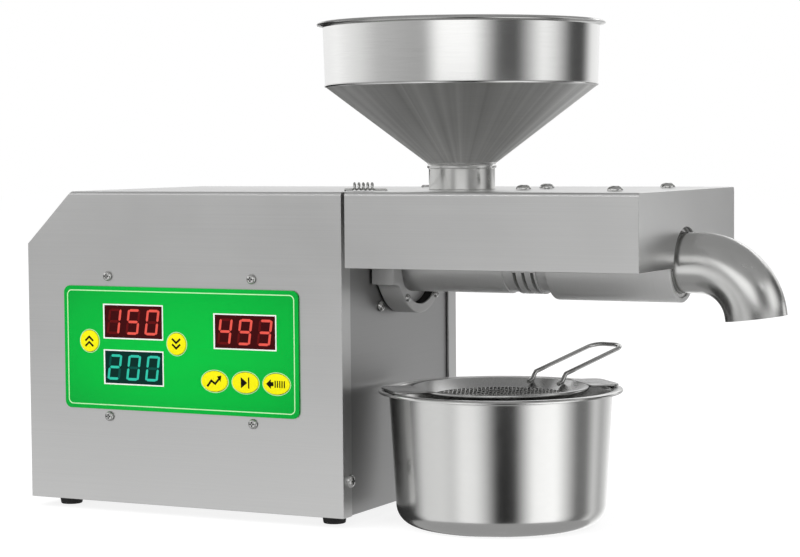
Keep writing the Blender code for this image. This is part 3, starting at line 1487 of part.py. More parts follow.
def make_oil_pan():
    wall, corner = pan_wall, pan_corner_radius
    rim, mouth, base = pan_rim_radius, pan_mouth_radius, pan_base_radius
    top = pan_height
    profile = [(0.0, wall)]
    profile += arc((base - corner, corner), corner - wall, -quarter_turn, 0.0, corner_steps)
    profile += [(mouth - wall, top - 2 * wall), (mouth, top), (rim - wall, top), (rim, top - wall / 2),
                (rim, top - pan_rim_drop), (rim - wall, top - pan_rim_drop), (mouth + wall, top - wall),
                (mouth, top - 2 * wall)]
    profile += arc((base - corner, corner), corner, 0.0, -quarter_turn, corner_steps)
    profile += [(0.0, 0.0)]
    turned("oil_pan", profile, (pan_x, pan_y, 0.0), upright, polished_steel, wide_steps, closed=False)


def strainer_top():
    return pan_height + strainer_above_rim


def make_strainer():
    at = (pan_x, pan_y, 0.0)
    top = strainer_top()
    outer = strainer_radius
    inner = outer - strainer_ring_width
    low = top - strainer_ring_drop
    thick = strainer_sheet
    ring = [(outer - thick, top), (outer, top - thick / 2), (outer, top - strainer_lip),
            (outer - thick, top - strainer_lip),
            (outer - 2 * thick, top - thick), (inner, low - thick), (inner, low)]
    frame = turned("strainer_frame", ring, at, upright, polished_steel, wide_steps)
    ear_base = pan_height + gap
    ear_inner = outer - strainer_lip
    outline = [(-ear_reach, ear_base), (-ear_reach + ear_sheet, ear_base),
               (-pan_mouth_radius + pan_wall, ear_base),
               (-ear_inner, top - strainer_lip), (-ear_inner, top - strainer_lip + ear_sheet),
               (-pan_mouth_radius + pan_wall, ear_base + ear_sheet), (-ear_reach, ear_base + ear_sheet)]
    for index, direction in enumerate((ear_direction, ear_direction + math.pi)):
        ear = flat_mesh(f"strainer_ear_{index}", [outline], ear_width)
        join(frame, place(f"strainer_ear_{index}", ear, at, (quarter_turn, 0.0, direction), None))

    bowl_rim = inner - gap
    rim_z = low - thick
    over, under = [], []
    for index in range(mesh_rings + 1):
        share = index / mesh_rings
        radius = bowl_rim * share
        depth = mesh_depth * (1 - share ** 2)
        over.append((radius, rim_z - depth + mesh_sheet))
        under.append((radius, rim_z - depth))
    profile = over + list(reversed(under))
    turned("strainer_mesh", profile, at, upright, cast_metal, wide_steps, closed=False)

    wire = handle_wire_radius
    half, corner = handle_half_width, handle_corner
    cone = (strainer_ring_drop - thick) / (outer - 2 * thick - inner)
    side = []
    for x in (handle_foot, handle_foot + handle_foot_length):
        rise = (math.hypot(x, half) - inner) * cone + wire * math.hypot(1, cone)
        side.append((x, half, low + rise + 2 * gap))
    bend_z = top + wire + gap + handle_lift
    side.append((handle_bend, half, bend_z))
    turn = arc((handle_reach - corner, half - corner), corner, quarter_turn, 0.0, corner_steps)
    rise_per_length = handle_rise / (handle_reach - handle_bend)
    for x, y in turn:
        side.append((x, y, bend_z + (x - handle_bend) * rise_per_length))
    mirrored = [(x, -y, z) for x, y, z in reversed(side)]
    place("strainer_handle", wire_mesh("strainer_handle", side + mirrored, wire, tiny_steps), at,
          (0.0, 0.0, handle_direction), polished_steel)


def build():
    make_cover_shell()
    make_left_panel()
    make_right_end_plate()
    make_base_tray()
    make_feet()
    make_control_panel()
    make_displays()
    make_buttons()
    make_controller_board()
    make_power_board()
    make_power_inlet()
    make_power_switch()
    make_fan()
    make_gear_train()
    make_gearbox()
    make_press_shaft()
    make_motor()
    make_seat_flange()
    make_barrel()
    make_press_screw()
    make_heater_band()
    make_outlet_elbow()
    make_hood()
    make_hood_fittings()
    make_springs()
    make_hopper()
    make_oil_pan()
    make_strainer()


build()
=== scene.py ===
"""Looks of the screw oil press: smooth turned and bent pieces, finishes, studio floor, light and camera."""

import json
from math import asin, atan2, cos, degrees, hypot, pi, radians, sin, sqrt

import bmesh
import bpy
from mathutils import Matrix, Vector


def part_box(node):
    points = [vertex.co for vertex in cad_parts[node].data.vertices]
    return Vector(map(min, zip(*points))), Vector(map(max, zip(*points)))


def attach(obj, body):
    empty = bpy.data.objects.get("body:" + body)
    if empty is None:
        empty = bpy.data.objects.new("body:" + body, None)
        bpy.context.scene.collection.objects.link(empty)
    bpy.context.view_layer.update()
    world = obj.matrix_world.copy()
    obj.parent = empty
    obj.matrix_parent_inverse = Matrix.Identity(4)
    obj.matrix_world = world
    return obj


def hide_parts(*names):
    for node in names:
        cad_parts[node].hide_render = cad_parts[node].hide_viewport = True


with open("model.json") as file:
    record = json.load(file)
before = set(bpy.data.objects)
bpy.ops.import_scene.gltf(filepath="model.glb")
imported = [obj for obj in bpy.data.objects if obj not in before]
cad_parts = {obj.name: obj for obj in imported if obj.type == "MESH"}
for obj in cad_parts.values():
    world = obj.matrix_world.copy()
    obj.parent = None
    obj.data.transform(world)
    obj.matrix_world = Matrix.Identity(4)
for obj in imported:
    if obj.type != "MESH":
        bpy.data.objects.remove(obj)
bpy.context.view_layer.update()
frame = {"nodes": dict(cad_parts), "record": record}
record = frame["record"]
body_of_node = {node: body for body, nodes in record["behaviour"]["bodies"].items() for node in nodes}
slot_of_node = {entry["node"]: entry["material_slot"] for entry in record["subparts"]}

# The casing's left, front and standing surfaces, from which every place below is measured
corner = Vector((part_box("left_panel")[0][0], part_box("cover_shell")[0][1], 0.0))
half_turn = pi
quarter_turn = pi / 2
full_turn = 2 * pi
origin = Vector((0.0, 0.0, 0.0))

# Sizes shared by several pieces, in metres
gap = 0.0003
casing_width = 0.2
casing_depth = 0.142
casing_top = 0.1785
axis_y = 0.071
axis_z = 0.1406
hopper_x = 0.2373
pan_x = 0.267
pan_y = 0.0543
pan_height = 0.0727
left_window = 0.0702
right_window = 0.1414
current_z = 0.1066
target_z = 0.0812
timer_z = 0.1031
window_width = 0.0385
window_height = 0.0186

windows = ((left_window, current_z), (left_window, target_z), (right_window, timer_z))
weld = 0.0000005
fold_angle = 32.0


def spot(x, y, z):
    """A place measured from the casing's corner, in the model's own frame."""
    return corner + Vector((x, y, z))


def on_axis(x):
    """A place on the axis that the barrel, press screw and outlet share."""
    return spot(x, axis_y, axis_z)


def maths(operation, swapped=False):
    """A method that joins a socket and another value in one Math node."""
    def result(self, other):
        pair = (other, self) if swapped else (self, other)
        return self.nodes.node("Math", {"operation": operation}, dict(enumerate(pair)))
    return result


class Flow:
    """A shader socket that takes part in sums as a number does."""

    def __init__(self, nodes, socket):
        self.nodes = nodes
        self.socket = socket

    __add__, __radd__ = maths("ADD"), maths("ADD", True)
    __sub__, __rsub__ = maths("SUBTRACT"), maths("SUBTRACT", True)
    __mul__, __rmul__ = maths("MULTIPLY"), maths("MULTIPLY", True)
    above = maths("GREATER_THAN")
    bearing_from = maths("ARCTAN2")


class Nodes:
    """The node tree of a finish or of the sky."""

    def __init__(self, tree):
        self.tree = tree

    def join(self, socket, value):
        if isinstance(value, Flow):
            self.tree.links.new(value.socket, socket)
        else:
            socket.default_value = value

    def node(self, kind, settings=None, values=None, output=0):
        item = self.tree.nodes.new(f"ShaderNode{kind}")
        for key, value in (settings or {}).items():
            if key == "stops":
                elements = item.color_ramp.elements
                while len(elements) < len(value):
                    elements.new(0.5)
                for element, (place, level) in zip(elements, value):
                    element.position = place
                    element.color = (level, level, level, 1.0)
            else:
                setattr(item, key, value)
        for key, value in (values or {}).items():
            self.join(item.inputs[key], value)
        return Flow(self, item.outputs[output])


class Finish(Nodes):
    """A surface finish: one material and the nodes that vary it."""

    def __init__(self, name, colour, roughness, metallic=0.0):
        self.material = bpy.data.materials.new(name)
        self.material.use_nodes = True
        super().__init__(self.material.node_tree)
        self.shader = self.tree.nodes["Principled BSDF"]
        self.feed("Base Color", (*colour, 1.0))
        self.feed("Roughness", roughness)
        self.feed("Metallic", metallic)

    def feed(self, socket_name, value):
        self.join(self.shader.inputs[socket_name], value)

    def surface(self, shown):
        """Show something other than the plain shader."""
        self.join(self.tree.nodes["Material Output"].inputs["Surface"], shown)

    def place(self):
        return self.node("TexCoord", output="Object")

    def vector(self, operation, first, second, output=0):
        return self.node("VectorMath", {"operation": operation}, {0: first, 1: second}, output)

    def part(self, vector, index):
        """The X, Y or Z of a vector."""
        return self.node("SeparateXYZ", {}, {"Vector": vector}, index)

    def noise(self, stretch, detail=3.0, roughness=0.55):
        """Noise over the piece; stretch gives its waves per metre, alike or along each axis."""
        if isinstance(stretch, float):
            stretch = (stretch, stretch, stretch)
        spread = self.node("Mapping", {}, {"Vector": self.place(), "Scale": stretch})
        return self.node("TexNoise", {},
            {"Vector": spread, "Scale": 1.0, "Detail": detail, "Roughness": roughness})

    def band(self, value, stops):
        return self.node("ValToRGB", {"stops": stops}, {"Fac": value})

    def tint(self, factor, dark, light):
        """A colour between two, by factor."""
        return self.node("Mix", {"data_type": "RGBA"}, {0: factor, 6: (*dark, 1.0), 7: (*light, 1.0)}, 2)

    def bump(self, height, strength, distance):
        values = {"Height": height, "Strength": strength, "Distance": distance}
        self.feed("Normal", self.node("Bump", {}, values))

    def glow(self, colour, strength):
        return self.node("Emission", {}, {"Color": colour, "Strength": strength})


def shade(colour, factor):
    return tuple(min(1.0, channel * factor) for channel in colour)


def brushed(name, colour, roughness, grain, depth=0.1, metallic=1.0, spread=0.1):
    """Sheet metal with a grain: grain gives the waves per metre along each axis."""
    finish = Finish(name, colour, roughness, metallic)
    lines = finish.noise(grain, 4.0, 0.7)
    clouds = finish.noise(9.0, 2.0)
    wear = finish.noise(70.0, 4.0)
    finish.feed("Roughness", roughness + spread * (lines - 0.5) + 0.1 * (clouds - 0.5) + 0.05 * (wear - 0.5))
    finish.feed("Base Color", finish.tint(0.55 * lines + 0.45 * clouds, shade(colour, 0.88),
        shade(colour, 1.1)))
    finish.bump(lines, depth, 0.00012)
    return finish.material


def polished(name, colour, roughness, grain, depth=0.03):
    """Spun or drawn steel with a fine grain."""
    return brushed(name, colour, roughness, grain, depth, 1.0, 0.05)


def moulded(name, colour, roughness, metallic=0.0, size=900.0, depth=0.12, shine=0.5):
    """Rubber, plastic, film or casting with a fine texture and slight unevenness."""
    finish = Finish(name, colour, roughness, metallic)
    finish.feed("Specular IOR Level", shine)
    fine = finish.noise(size)
    clouds = finish.noise(14.0)
    finish.feed("Roughness", roughness + 0.12 * (clouds - 0.5) + 0.06 * (fine - 0.5))
    finish.feed("Base Color", finish.tint(0.6 * clouds + 0.4 * fine, shade(colour, 0.86),
        shade(colour, 1.12)))
    finish.bump(fine, depth, 0.0002)
    return finish.material


def lit(name, colour, strength):
    """A lit segment of a display, a little uneven."""
    finish = Finish(name, (0.0, 0.0, 0.0), 0.4)
    finish.feed("Emission Color", finish.tint(finish.noise(400.0, 1.0), shade(colour, 0.85),
        shade(colour, 1.1)))
    finish.feed("Emission Strength", strength)
    finish.feed("Specular IOR Level", 0.0)
    return finish.material


steel_sheet = (0.66, 0.66, 0.655)
steel_bright = (0.66, 0.66, 0.65)
casing_steel = brushed("casing_steel", steel_sheet, 0.33, (7.0, 1500.0, 1500.0))
hood_steel = brushed("hood_steel", steel_sheet, 0.32, (7.0, 1500.0, 1500.0))
# A darker copy of the casing steel for the right end plate: painted shade for the casing's shaded right side
painted_shade_end_steel = brushed("painted_shade_end_steel", (0.42, 0.42, 0.42), 0.36, (1500.0, 8.0, 1500.0))
pan_steel = polished("pan_steel", steel_bright, 0.18, (240.0, 240.0, 2600.0))
pipe_steel = polished("pipe_steel", (0.6, 0.6, 0.59), 0.26, (120.0, 700.0, 120.0), 0.01)
barrel_steel = brushed("barrel_steel", (0.56, 0.56, 0.555), 0.45, (1800.0, 60.0, 60.0), 0.1, 0.55)
# Darker polished steel for the strainer ring: painted shade for the dark surroundings it mirrors
painted_shade_strainer_steel = polished("painted_shade_strainer_steel", (0.42, 0.42, 0.415), 0.22, (240.0, 240.0, 900.0))
bright_steel = polished("bright_steel", (0.58, 0.58, 0.57), 0.24, (1200.0, 1200.0, 1200.0))
gear_steel = brushed("gear_steel", (0.34, 0.34, 0.35), 0.32, (1500.0, 300.0, 300.0))
cast_iron = moulded("cast_iron", (0.5, 0.5, 0.495), 0.48, 0.45, 1300.0, 0.35)
cast_aluminium = moulded("cast_aluminium", (0.55, 0.56, 0.57), 0.48, 1.0, 1100.0, 0.3)
motor_paint = moulded("motor_paint", (0.06, 0.06, 0.065), 0.42, 0.0, 700.0, 0.2)
copper_winding = moulded("copper_winding", (0.52, 0.22, 0.1), 0.4, 0.9, 900.0, 0.4)
black_rubber = moulded("black_rubber", (0.018, 0.018, 0.018), 0.72, 0.0, 900.0, 0.3)
black_plastic = moulded("black_plastic", (0.022, 0.022, 0.022), 0.4, 0.0, 1200.0, 0.15)
# Near black that stands for shade: painted shade in the seat's bore and in the screws' cross recesses
painted_shade_black = moulded("painted_shade_black", (0.012, 0.012, 0.012), 0.85, 0.0, 600.0, 0.2)
yellow_key = moulded("yellow_key", (0.98, 0.86, 0.0), 0.45, 0.0, 800.0, 0.06, 0.12)
key_print = moulded("key_print", (0.006, 0.006, 0.004), 0.6, 0.0, 800.0, 0.05, 0.05)
film_line = moulded("film_line", (0.55, 0.95, 0.5), 0.5, 0.0, 800.0, 0.05, 0.1)
frame_white = moulded("frame_white", (0.9, 0.95, 0.88), 0.5, 0.0, 800.0, 0.05, 0.1)
board_green = moulded("board_green", (0.02, 0.16, 0.07), 0.45, 0.0, 500.0, 0.2)
red_window = moulded("red_window", (0.05, 0.002, 0.003), 0.4, 0.0, 500.0, 0.03, 0.06)
cyan_window = moulded("cyan_window", (0.001, 0.028, 0.022), 0.4, 0.0, 500.0, 0.03, 0.06)
red_lit = lit("red_lit", (0.95, 0.12, 0.09), 0.95)
cyan_lit = lit("cyan_lit", (0.04, 0.62, 0.44), 0.95)
red_unlit = moulded("red_unlit", (0.12, 0.004, 0.005), 0.4, 0.0, 500.0, 0.05, 0.06)
cyan_unlit = moulded("cyan_unlit", (0.002, 0.075, 0.058), 0.4, 0.0, 500.0, 0.05, 0.06)


def hopper_finish():
    """Spun steel: a polished band and neck, and a duller cone, rougher and with its colour darkened as
    painted shade, with painted reflection streaks that run down it.
    """
    cone_low, cone_high = 0.1932, 0.2344
    finish = Finish("hopper_steel", steel_bright, 0.18, 1.0)
    finish.feed("Anisotropic", 0.75)
    offset = finish.vector("SUBTRACT", finish.place(), tuple(spot(hopper_x, axis_y, 0.0)))
    across, back, up = (finish.part(offset, index) for index in range(3))
    bearing = across.bearing_from(back)
    # Random streaks by bearing round the axis: painted reflection streaks down the cone
    painted_reflection_streaks = finish.node("TexNoise", {"noise_dimensions": "1D"},
        {"W": bearing * 9.0, "Scale": 1.0, "Detail": 4.0})
    rings = finish.noise((60.0, 60.0, 2600.0), 4.0, 0.7)
    clouds = finish.noise(12.0, 2.0)
    cone = up.above(cone_low) - up.above(cone_high)
    finish.feed("Roughness", 0.15 + 0.25 * cone + 0.05 * (rings - 0.5) + 0.06 * (clouds - 0.5))
    # On the cone the colour is pulled down as painted shade and lifted along the painted reflection streaks
    bright = 0.5 * rings + 0.5 * clouds - 0.95 * cone + 1.5 * cone * painted_reflection_streaks
    finish.feed("Base Color", finish.tint(bright, (0.5, 0.5, 0.495), (0.72, 0.72, 0.71)))
    finish.shader.inputs["Base Color"].links[0].from_node.clamp_factor = False
    finish.bump(rings, 0.03, 0.0001)
    return finish.material


def panel_film():
    """Green printed film, darker along its border and lighter towards the middle."""
    half_width, half_height = 0.075, 0.034
    finish = Finish("panel_film", (0.0, 0.4, 0.07), 0.34)
    finish.feed("Specular IOR Level", 0.08)
    middle = spot(0.0995, 0.0, 0.09175)
    across = (finish.part(finish.place(), 0) - middle.x) * (1 / half_width)
    height = (finish.part(finish.place(), 2) - middle.z) * (1 / half_height)
    far = across * across + height * height
    glow = finish.band(far * 0.45, ((0.0, 1.0), (1.0, 0.0)))
    fine = finish.noise(700.0, 2.0)
    finish.feed("Base Color", finish.tint(glow * 0.9 + fine * 0.1, (0.0, 0.33, 0.036), (0.0, 0.52, 0.052)))
    finish.feed("Roughness", 0.32 + 0.08 * (fine - 0.5))
    finish.bump(fine, 0.03, 0.0001)
    return finish.material


def wire_cloth():
    """Woven wire seen under the wires themselves: two crossing sets of fine waves."""
    finish = Finish("wire_cloth", (0.2, 0.2, 0.2), 0.4, 0.9)
    along, over = (finish.node("TexWave", {"bands_direction": turn},
        {"Vector": finish.place(), "Scale": 170.0, "Distortion": 0.0}, 1) for turn in "XY")
    weave = along * over
    finish.feed("Base Color", finish.tint(weave, (0.01, 0.01, 0.01), (0.75, 0.75, 0.74)))
    finish.feed("Roughness", 0.36 + 0.1 * finish.noise(90.0))
    finish.bump(weave, 0.9, 0.0004)
    return finish.material


hopper_steel = hopper_finish()
green_film = panel_film()
strainer_cloth = wire_cloth()

finish_of_slot = {
    "brushed_steel": casing_steel, "polished_steel": bright_steel, "strainer_wire": strainer_cloth,
    "gear_steel": gear_steel, "cast_metal": cast_iron, "cast_aluminium": cast_aluminium,
    "motor_paint": motor_paint, "copper_and_iron": copper_winding, "black_rubber": black_rubber,
    "black_plastic": black_plastic, "green_film": green_film, "yellow_key": yellow_key,
    "red_display": red_window, "cyan_display": cyan_window, "board_green": board_green,
}
finish_of_node = {"right_end_plate": painted_shade_end_steel, "hood": hood_steel, "hood_saddle_inner": barrel_steel,
    "hood_saddle_outer": barrel_steel}


def placed(name, data):
    """A new object in the scene."""
    item = bpy.data.objects.new(name, data)
    bpy.context.scene.collection.objects.link(item)
    return item


def show(mesh, finish, node=None, body="casing"):
    """Put a mesh in the scene as a piece, which stands for a CAD node or rides on a body beside them."""
    mesh.materials.clear()
    mesh.materials.append(finish)
    piece = placed(mesh.name, mesh)
    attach(piece, body_of_node[node] if node else body)
    if node:
        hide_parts(node)
    return piece


def drawn(shape, name):
    """The mesh of a shape that is done."""
    mesh = bpy.data.meshes.new(name)
    shape.to_mesh(mesh)
    shape.free()
    return mesh


def rounded(mesh, angle):
    """Smooth shading, with an edge kept sharp where its faces fold by more than the angle."""
    mesh.shade_smooth()
    mesh.set_sharp_from_angle(angle=radians(angle))
    return mesh


def applied(item):
    """An object's mesh as its curve settings or modifiers make it."""
    graph = bpy.context.evaluated_depsgraph_get()
    graph.update()
    return bpy.data.meshes.new_from_object(item.evaluated_get(graph))


def turns(steps):
    """Even steps of one full turn."""
    return [full_turn * step / steps for step in range(steps)]


def settle(shape, name, angle=fold_angle, within=0.0):
    if within:
        bmesh.ops.remove_doubles(shape, verts=shape.verts, dist=within)
    bmesh.ops.recalc_face_normals(shape, faces=shape.faces)
    return rounded(drawn(shape, name), angle)


def smooth_copy(node, bevel=0.0, angle=fold_angle):
    """The node's own shape with smooth round faces and, where bevel is given, softened edges."""
    shape = bmesh.new()
    shape.from_mesh(frame["nodes"][node].data)
    bmesh.ops.remove_doubles(shape, verts=shape.verts, dist=0.000005)
    bmesh.ops.dissolve_limit(shape, angle_limit=radians(0.5), verts=shape.verts, edges=shape.edges)
    finish = finish_of_node.get(node, finish_of_slot[slot_of_node[node]])
    piece = show(settle(shape, f"{node}_shape", angle), finish, node)
    if bevel:
        soft = piece.modifiers.new("soft_edges", "BEVEL")
        soft.width = bevel
        soft.segments = 2
        soft.limit_method = "ANGLE"
        soft.angle_limit = radians(58)
        soft.harden_normals = True
    flat = piece.modifiers.new("flat_faces", "WEIGHTED_NORMAL")
    flat.keep_sharp = True


def beside(x, y, steps):
    """Points given by their steps from a place."""
    return [(x + across, y + up) for across, up in steps]


def arc(centre, radius, start, end, steps):
    angles = [start + (end - start) * step / steps for step in range(steps + 1)]
    return beside(*centre, [(radius * cos(angle), radius * sin(angle)) for angle in angles])


def soften(points, radius, steps=3, closed=True):
    """Round the corners of an outline."""
    result = []
    count = len(points)
    for index, point in enumerate(points):
        if not closed and index in (0, count - 1):
            result.append(tuple(point))
            continue
        here = Vector(point)
        before = Vector(points[index - 1]) - here
        after = Vector(points[(index + 1) % count]) - here
        reach = min(radius, before.length * 0.45, after.length * 0.45)
        start = here + before.normalized() * reach
        end = here + after.normalized() * reach
        for step in range(steps + 1):
            share = step / steps
            result.append(tuple(start.lerp(here, share).lerp(here.lerp(end, share), share)))
    return result


def bridge(shape, one, two, closed=True):
    """Faces between two rings or rows of points."""
    for here in range(len(one) if closed else len(one) - 1):
        follow = (here + 1) % len(one)
        shape.faces.new((one[here], one[follow], two[follow], two[here]))


def turned_mesh(name, outline, centre, axis="Z", steps=128, closed=True, angle=fold_angle):
    """A turned mesh: outline is (radius, distance along the axis) from centre."""
    shape = bmesh.new()
    rings = []
    for turn in turns(steps):
        points = [(radius * cos(turn), radius * sin(turn), along) for radius, along in outline]
        if axis == "X":
            points = [(along, across, up) for across, up, along in points]
        rings.append([shape.verts.new(centre + Vector(point)) for point in points])
    for one, two in zip(rings, rings[1:] + rings[:1]):
        bridge(shape, one, two, closed)
    return settle(shape, name, angle, weld)


def tube_mesh(name, points, radius, sides=16, wall=0.0):
    """A round bar or pipe along a smooth line of points."""
    shape = bmesh.new()
    line = [Vector(point) for point in points]
    stations = []
    start = (line[1] - line[0]).normalized()
    normal = Vector((0.0, 1.0, 0.0) if abs(start.y) < 0.9 else (1.0, 0.0, 0.0))
    for index, point in enumerate(line):
        ahead = (line[min(index + 1, len(line) - 1)] - line[max(index - 1, 0)]).normalized()
        normal = (normal - ahead * normal.dot(ahead)).normalized()
        stations.append((point, normal, ahead.cross(normal)))

    def skin(size):
        rings = []
        for point, first, second in stations:
            rings.append([shape.verts.new(point + first * size * cos(turn) + second * size * sin(turn))
                          for turn in turns(sides)])
        for one, two in zip(rings, rings[1:]):
            bridge(shape, one, two)
        return rings

    outer = skin(radius)
    if wall:
        inner = skin(radius - wall)
        for end in (0, -1):
            bridge(shape, outer[end], inner[end])
    else:
        shape.faces.new(outer[0])
        shape.faces.new(outer[-1])
    return settle(shape, name, 40.0)


def plate_mesh(name, loops, back, front, plane, edge=0.0, angle=fold_angle):
    """A plate between two levels. plane places (x, y, level) of the outline; edge softens its rim."""
    curve = bpy.data.curves.new(name, "CURVE")
    curve.dimensions = "2D"
    curve.fill_mode = "BOTH"
    curve.extrude = max((front - back) / 2 - edge, 0.0)
    curve.bevel_depth = edge
    curve.bevel_resolution = 2
    curve.offset = -edge
    for loop in loops:
        spline = curve.splines.new("POLY")
        spline.points.add(len(loop) - 1)
        for point, (x, y) in zip(spline.points, loop):
            point.co = (x, y, 0.0, 1.0)
        spline.use_cyclic_u = True
    carrier = placed(name, curve)
    flat = applied(carrier)
    bpy.data.objects.remove(carrier, do_unlink=True)
    bpy.data.curves.remove(curve)
    shape = bmesh.new()
    shape.from_mesh(flat)
    bpy.data.meshes.remove(flat)
    middle = (front + back) / 2
    for vertex in shape.verts:
        x, y, level = vertex.co
        vertex.co = plane(x, y, level + middle)
    return settle(shape, name, angle, weld)


def facing_front(x, z, level):
    """Outline in X and Z, level towards the front."""
    return spot(x, -level, z)


def facing_right(y, z, level):
    """Outline in Y and Z, level towards the right."""
    return spot(level, y, z)


def as_drawn(x, y, level):
    """Outline round the origin, put in its place later."""
    return Vector((x, y, level))


def stood(mesh, place, angle, axis):
    """A mesh made round the origin, turned and moved to its place."""
    mesh.transform(Matrix.Translation(place) @ Matrix.Rotation(angle, 4, axis))
    return mesh


def rectangle(left, bottom, right, top):
    return [(left, bottom), (right, bottom), (right, top), (left, top)]


def round_rectangle(left, bottom, right, top, radius, steps=8):
    points = []
    for x, y, start in ((right - radius, bottom + radius, -quarter_turn), (right - radius, top - radius, 0.0),
            (left + radius, top - radius, quarter_turn), (left + radius, bottom + radius, half_turn)):
        points += arc((x, y), radius, start, start + quarter_turn, steps)
    return points


def ellipse(x, y, width, height):
    return beside(x, y, [(width / 2 * cos(turn), height / 2 * sin(turn)) for turn in turns(48)])


def ring_mesh(name, inner, outer, low, high, centre, edge=0.0004, axis="X", steps=96):
    """A turned ring with softened edges."""
    return turned_mesh(name, soften(rectangle(inner, low, outer, high), edge), centre, axis, steps)


def joined(name, meshes, angle=fold_angle):
    shape = bmesh.new()
    for mesh in meshes:
        shape.from_mesh(mesh)
        bpy.data.meshes.remove(mesh)
    return rounded(drawn(shape, name), angle)


def box_tool(name, boxes):
    """Boxes to cut with, each given by two corners."""
    shape = bmesh.new()
    for low, high in boxes:
        block = bmesh.ops.create_cube(shape, size=1.0)["verts"]
        bmesh.ops.scale(shape, vec=[b - a for a, b in zip(low, high)], verts=block)
        bmesh.ops.translate(shape, vec=[(a + b) / 2 for a, b in zip(low, high)], verts=block)
    return drawn(shape, name)


def cut(piece, meshes, angle=fold_angle):
    """Cut the meshes out of a piece, one after the other."""
    tools = [placed(mesh.name, mesh) for mesh in meshes]
    for tool in tools:
        change = piece.modifiers.new("cut", "BOOLEAN")
        change.object = tool
        change.solver = "EXACT"
    result = applied(piece)
    piece.modifiers.clear()
    piece.data = rounded(result, angle)
    for tool in tools:
        bpy.data.objects.remove(tool, do_unlink=True)


# Casing sheets
for node in ("cover_shell", "left_panel", "hood"):
    smooth_copy(node, bevel=0.0003, angle=55.0)
for node in ("right_end_plate", "base_tray", "hood_saddle_inner", "hood_saddle_outer"):
    smooth_copy(node, bevel=0.0002)

# Inner pieces, seen through the slots and when the hood is lifted
for node in ("motor_can", "motor_end_bell", "armature", "gearbox_housing", "gearbox_lid", "output_shaft",
             "output_bearing_front", "output_bearing_rear", "fan_frame", "fan_rotor", "press_screw",
             "temperature_probe", "first_gear_cluster", "second_gear_cluster", "output_gear"):
    smooth_copy(node, angle=38.0)
for node in ("controller_board", "power_board"):
    frame["nodes"][node].material_slots[0].material = board_green


def make_seat():
    """Cast seat: ring and ears in one outline with filled corners, bored for the barrel's collar."""
    radius, reach, half, longest_ear = 0.0301, 0.0348, 0.0128, 0.05
    back, front = 0.1991, 0.2123
    fill, least = 14.0, 1e-6
    outline = []
    for turn in turns(160):
        across, up = cos(turn), sin(turn)
        side = reach / max(abs(across), least)
        ear = min(side, half / max(abs(up), least))
        size = (radius ** fill + (ear ** fill if ear < longest_ear else 0.0)) ** (1 / fill)
        size = max(radius, min(size, side))
        outline.append((axis_y + size * across, axis_z + size * up))
    body = plate_mesh("barrel_seat", [outline], back, front, facing_right, 0.0008, 40.0)
    piece = show(body, cast_iron, "seat_flange")
    cut(piece, [turned_mesh("seat_bore_tool", rectangle(0.0, 0.0042, 0.0252, 0.02), on_axis(back), "X", 96),
        turned_mesh("seat_hole_tool", rectangle(0.0, -0.005, 0.0118, 0.01), on_axis(back), "X", 64)], 34.0)
    # A thin near-black sleeve inside the bore: painted shade in the gap round the barrel's collar
    bore_shade_sleeve = turned_mesh("seat_bore_shade", rectangle(0.025, 0.0045, 0.0251, 0.0124), on_axis(back), "X", 96)
    show(bore_shade_sleeve, painted_shade_black)


def make_barrel():
    """Barrel with its collar and two turned-down lengths, the feed boss on top, and the oil slots below."""
    outer, low, bore = 0.0182, 0.0173, 0.0113
    start, end = 0.2036, 0.352
    first, second = 0.268, 0.2875
    outline = soften([(bore, end), (outer, end), (outer, second + 0.0052), (low, second + 0.0052),
        (low, second), (outer, second), (outer, first + 0.006), (low, first + 0.006), (low, first),
        (outer, first), (outer, start + 0.0034), (0.0248, start + 0.0034), (0.0248, start), (bore, start)],
        0.0003, 2)
    tube = turned_mesh("barrel_tube", outline, on_axis(0.0), "X", 96)
    boss = ring_mesh("feed_boss", 0.0125, 0.0166, 0.012, 0.0252, on_axis(hopper_x), axis="Z", steps=64)
    piece = show(joined("barrel_shape", [tube, boss]), barrel_steel, "barrel")
    slots = []
    for index in range(3):
        x = 0.2752 + index * 0.0051
        slots.append((spot(x - 0.0009, axis_y - 0.03, axis_z - 0.03),
            spot(x + 0.0009, axis_y + 0.03, axis_z - 0.006)))
    cut(piece, [box_tool("slot_tool", slots)])


def make_heater_band():
    """Heater band, slit at its top between two lugs that a bolt pulls together."""
    start, length, slit = 0.2945, 0.0695, 0.0015
    middle = start + length / 2
    band = ring_mesh("heater_shape", 0.0185, 0.021, start + length, start, on_axis(0.0), 0.0006)
    piece = show(band, barrel_steel, "heater_band")
    cut(piece, [box_tool("slit_tool", [(spot(start - 0.01, axis_y - slit, axis_z),
        spot(start + length + 0.01, axis_y + slit, axis_z + 0.05))])])
    loop = round_rectangle(middle - 0.007, axis_z + 0.0195, middle + 0.007, axis_z + 0.0309, 0.002)
    for side, name in ((-1, "heater_lug_front"), (1, "heater_lug_back")):
        near, far = sorted((axis_y + side * slit, axis_y + side * 0.0035))
        lug = plate_mesh(name, [loop], -far, -near, facing_front, 0.0002)
        show(lug, barrel_steel)
    bolt = turned_mesh("heater_bolt", soften([(0.0, -0.0075), (0.0024, -0.0075), (0.0024, -0.004),
        (0.0012, -0.004), (0.0012, 0.0065), (0.0, 0.0065)], 0.0002, closed=False), origin, "Z", 24, False)
    stood(bolt, spot(middle, axis_y, axis_z + 0.027), -quarter_turn, "X")
    show(bolt, bright_steel)


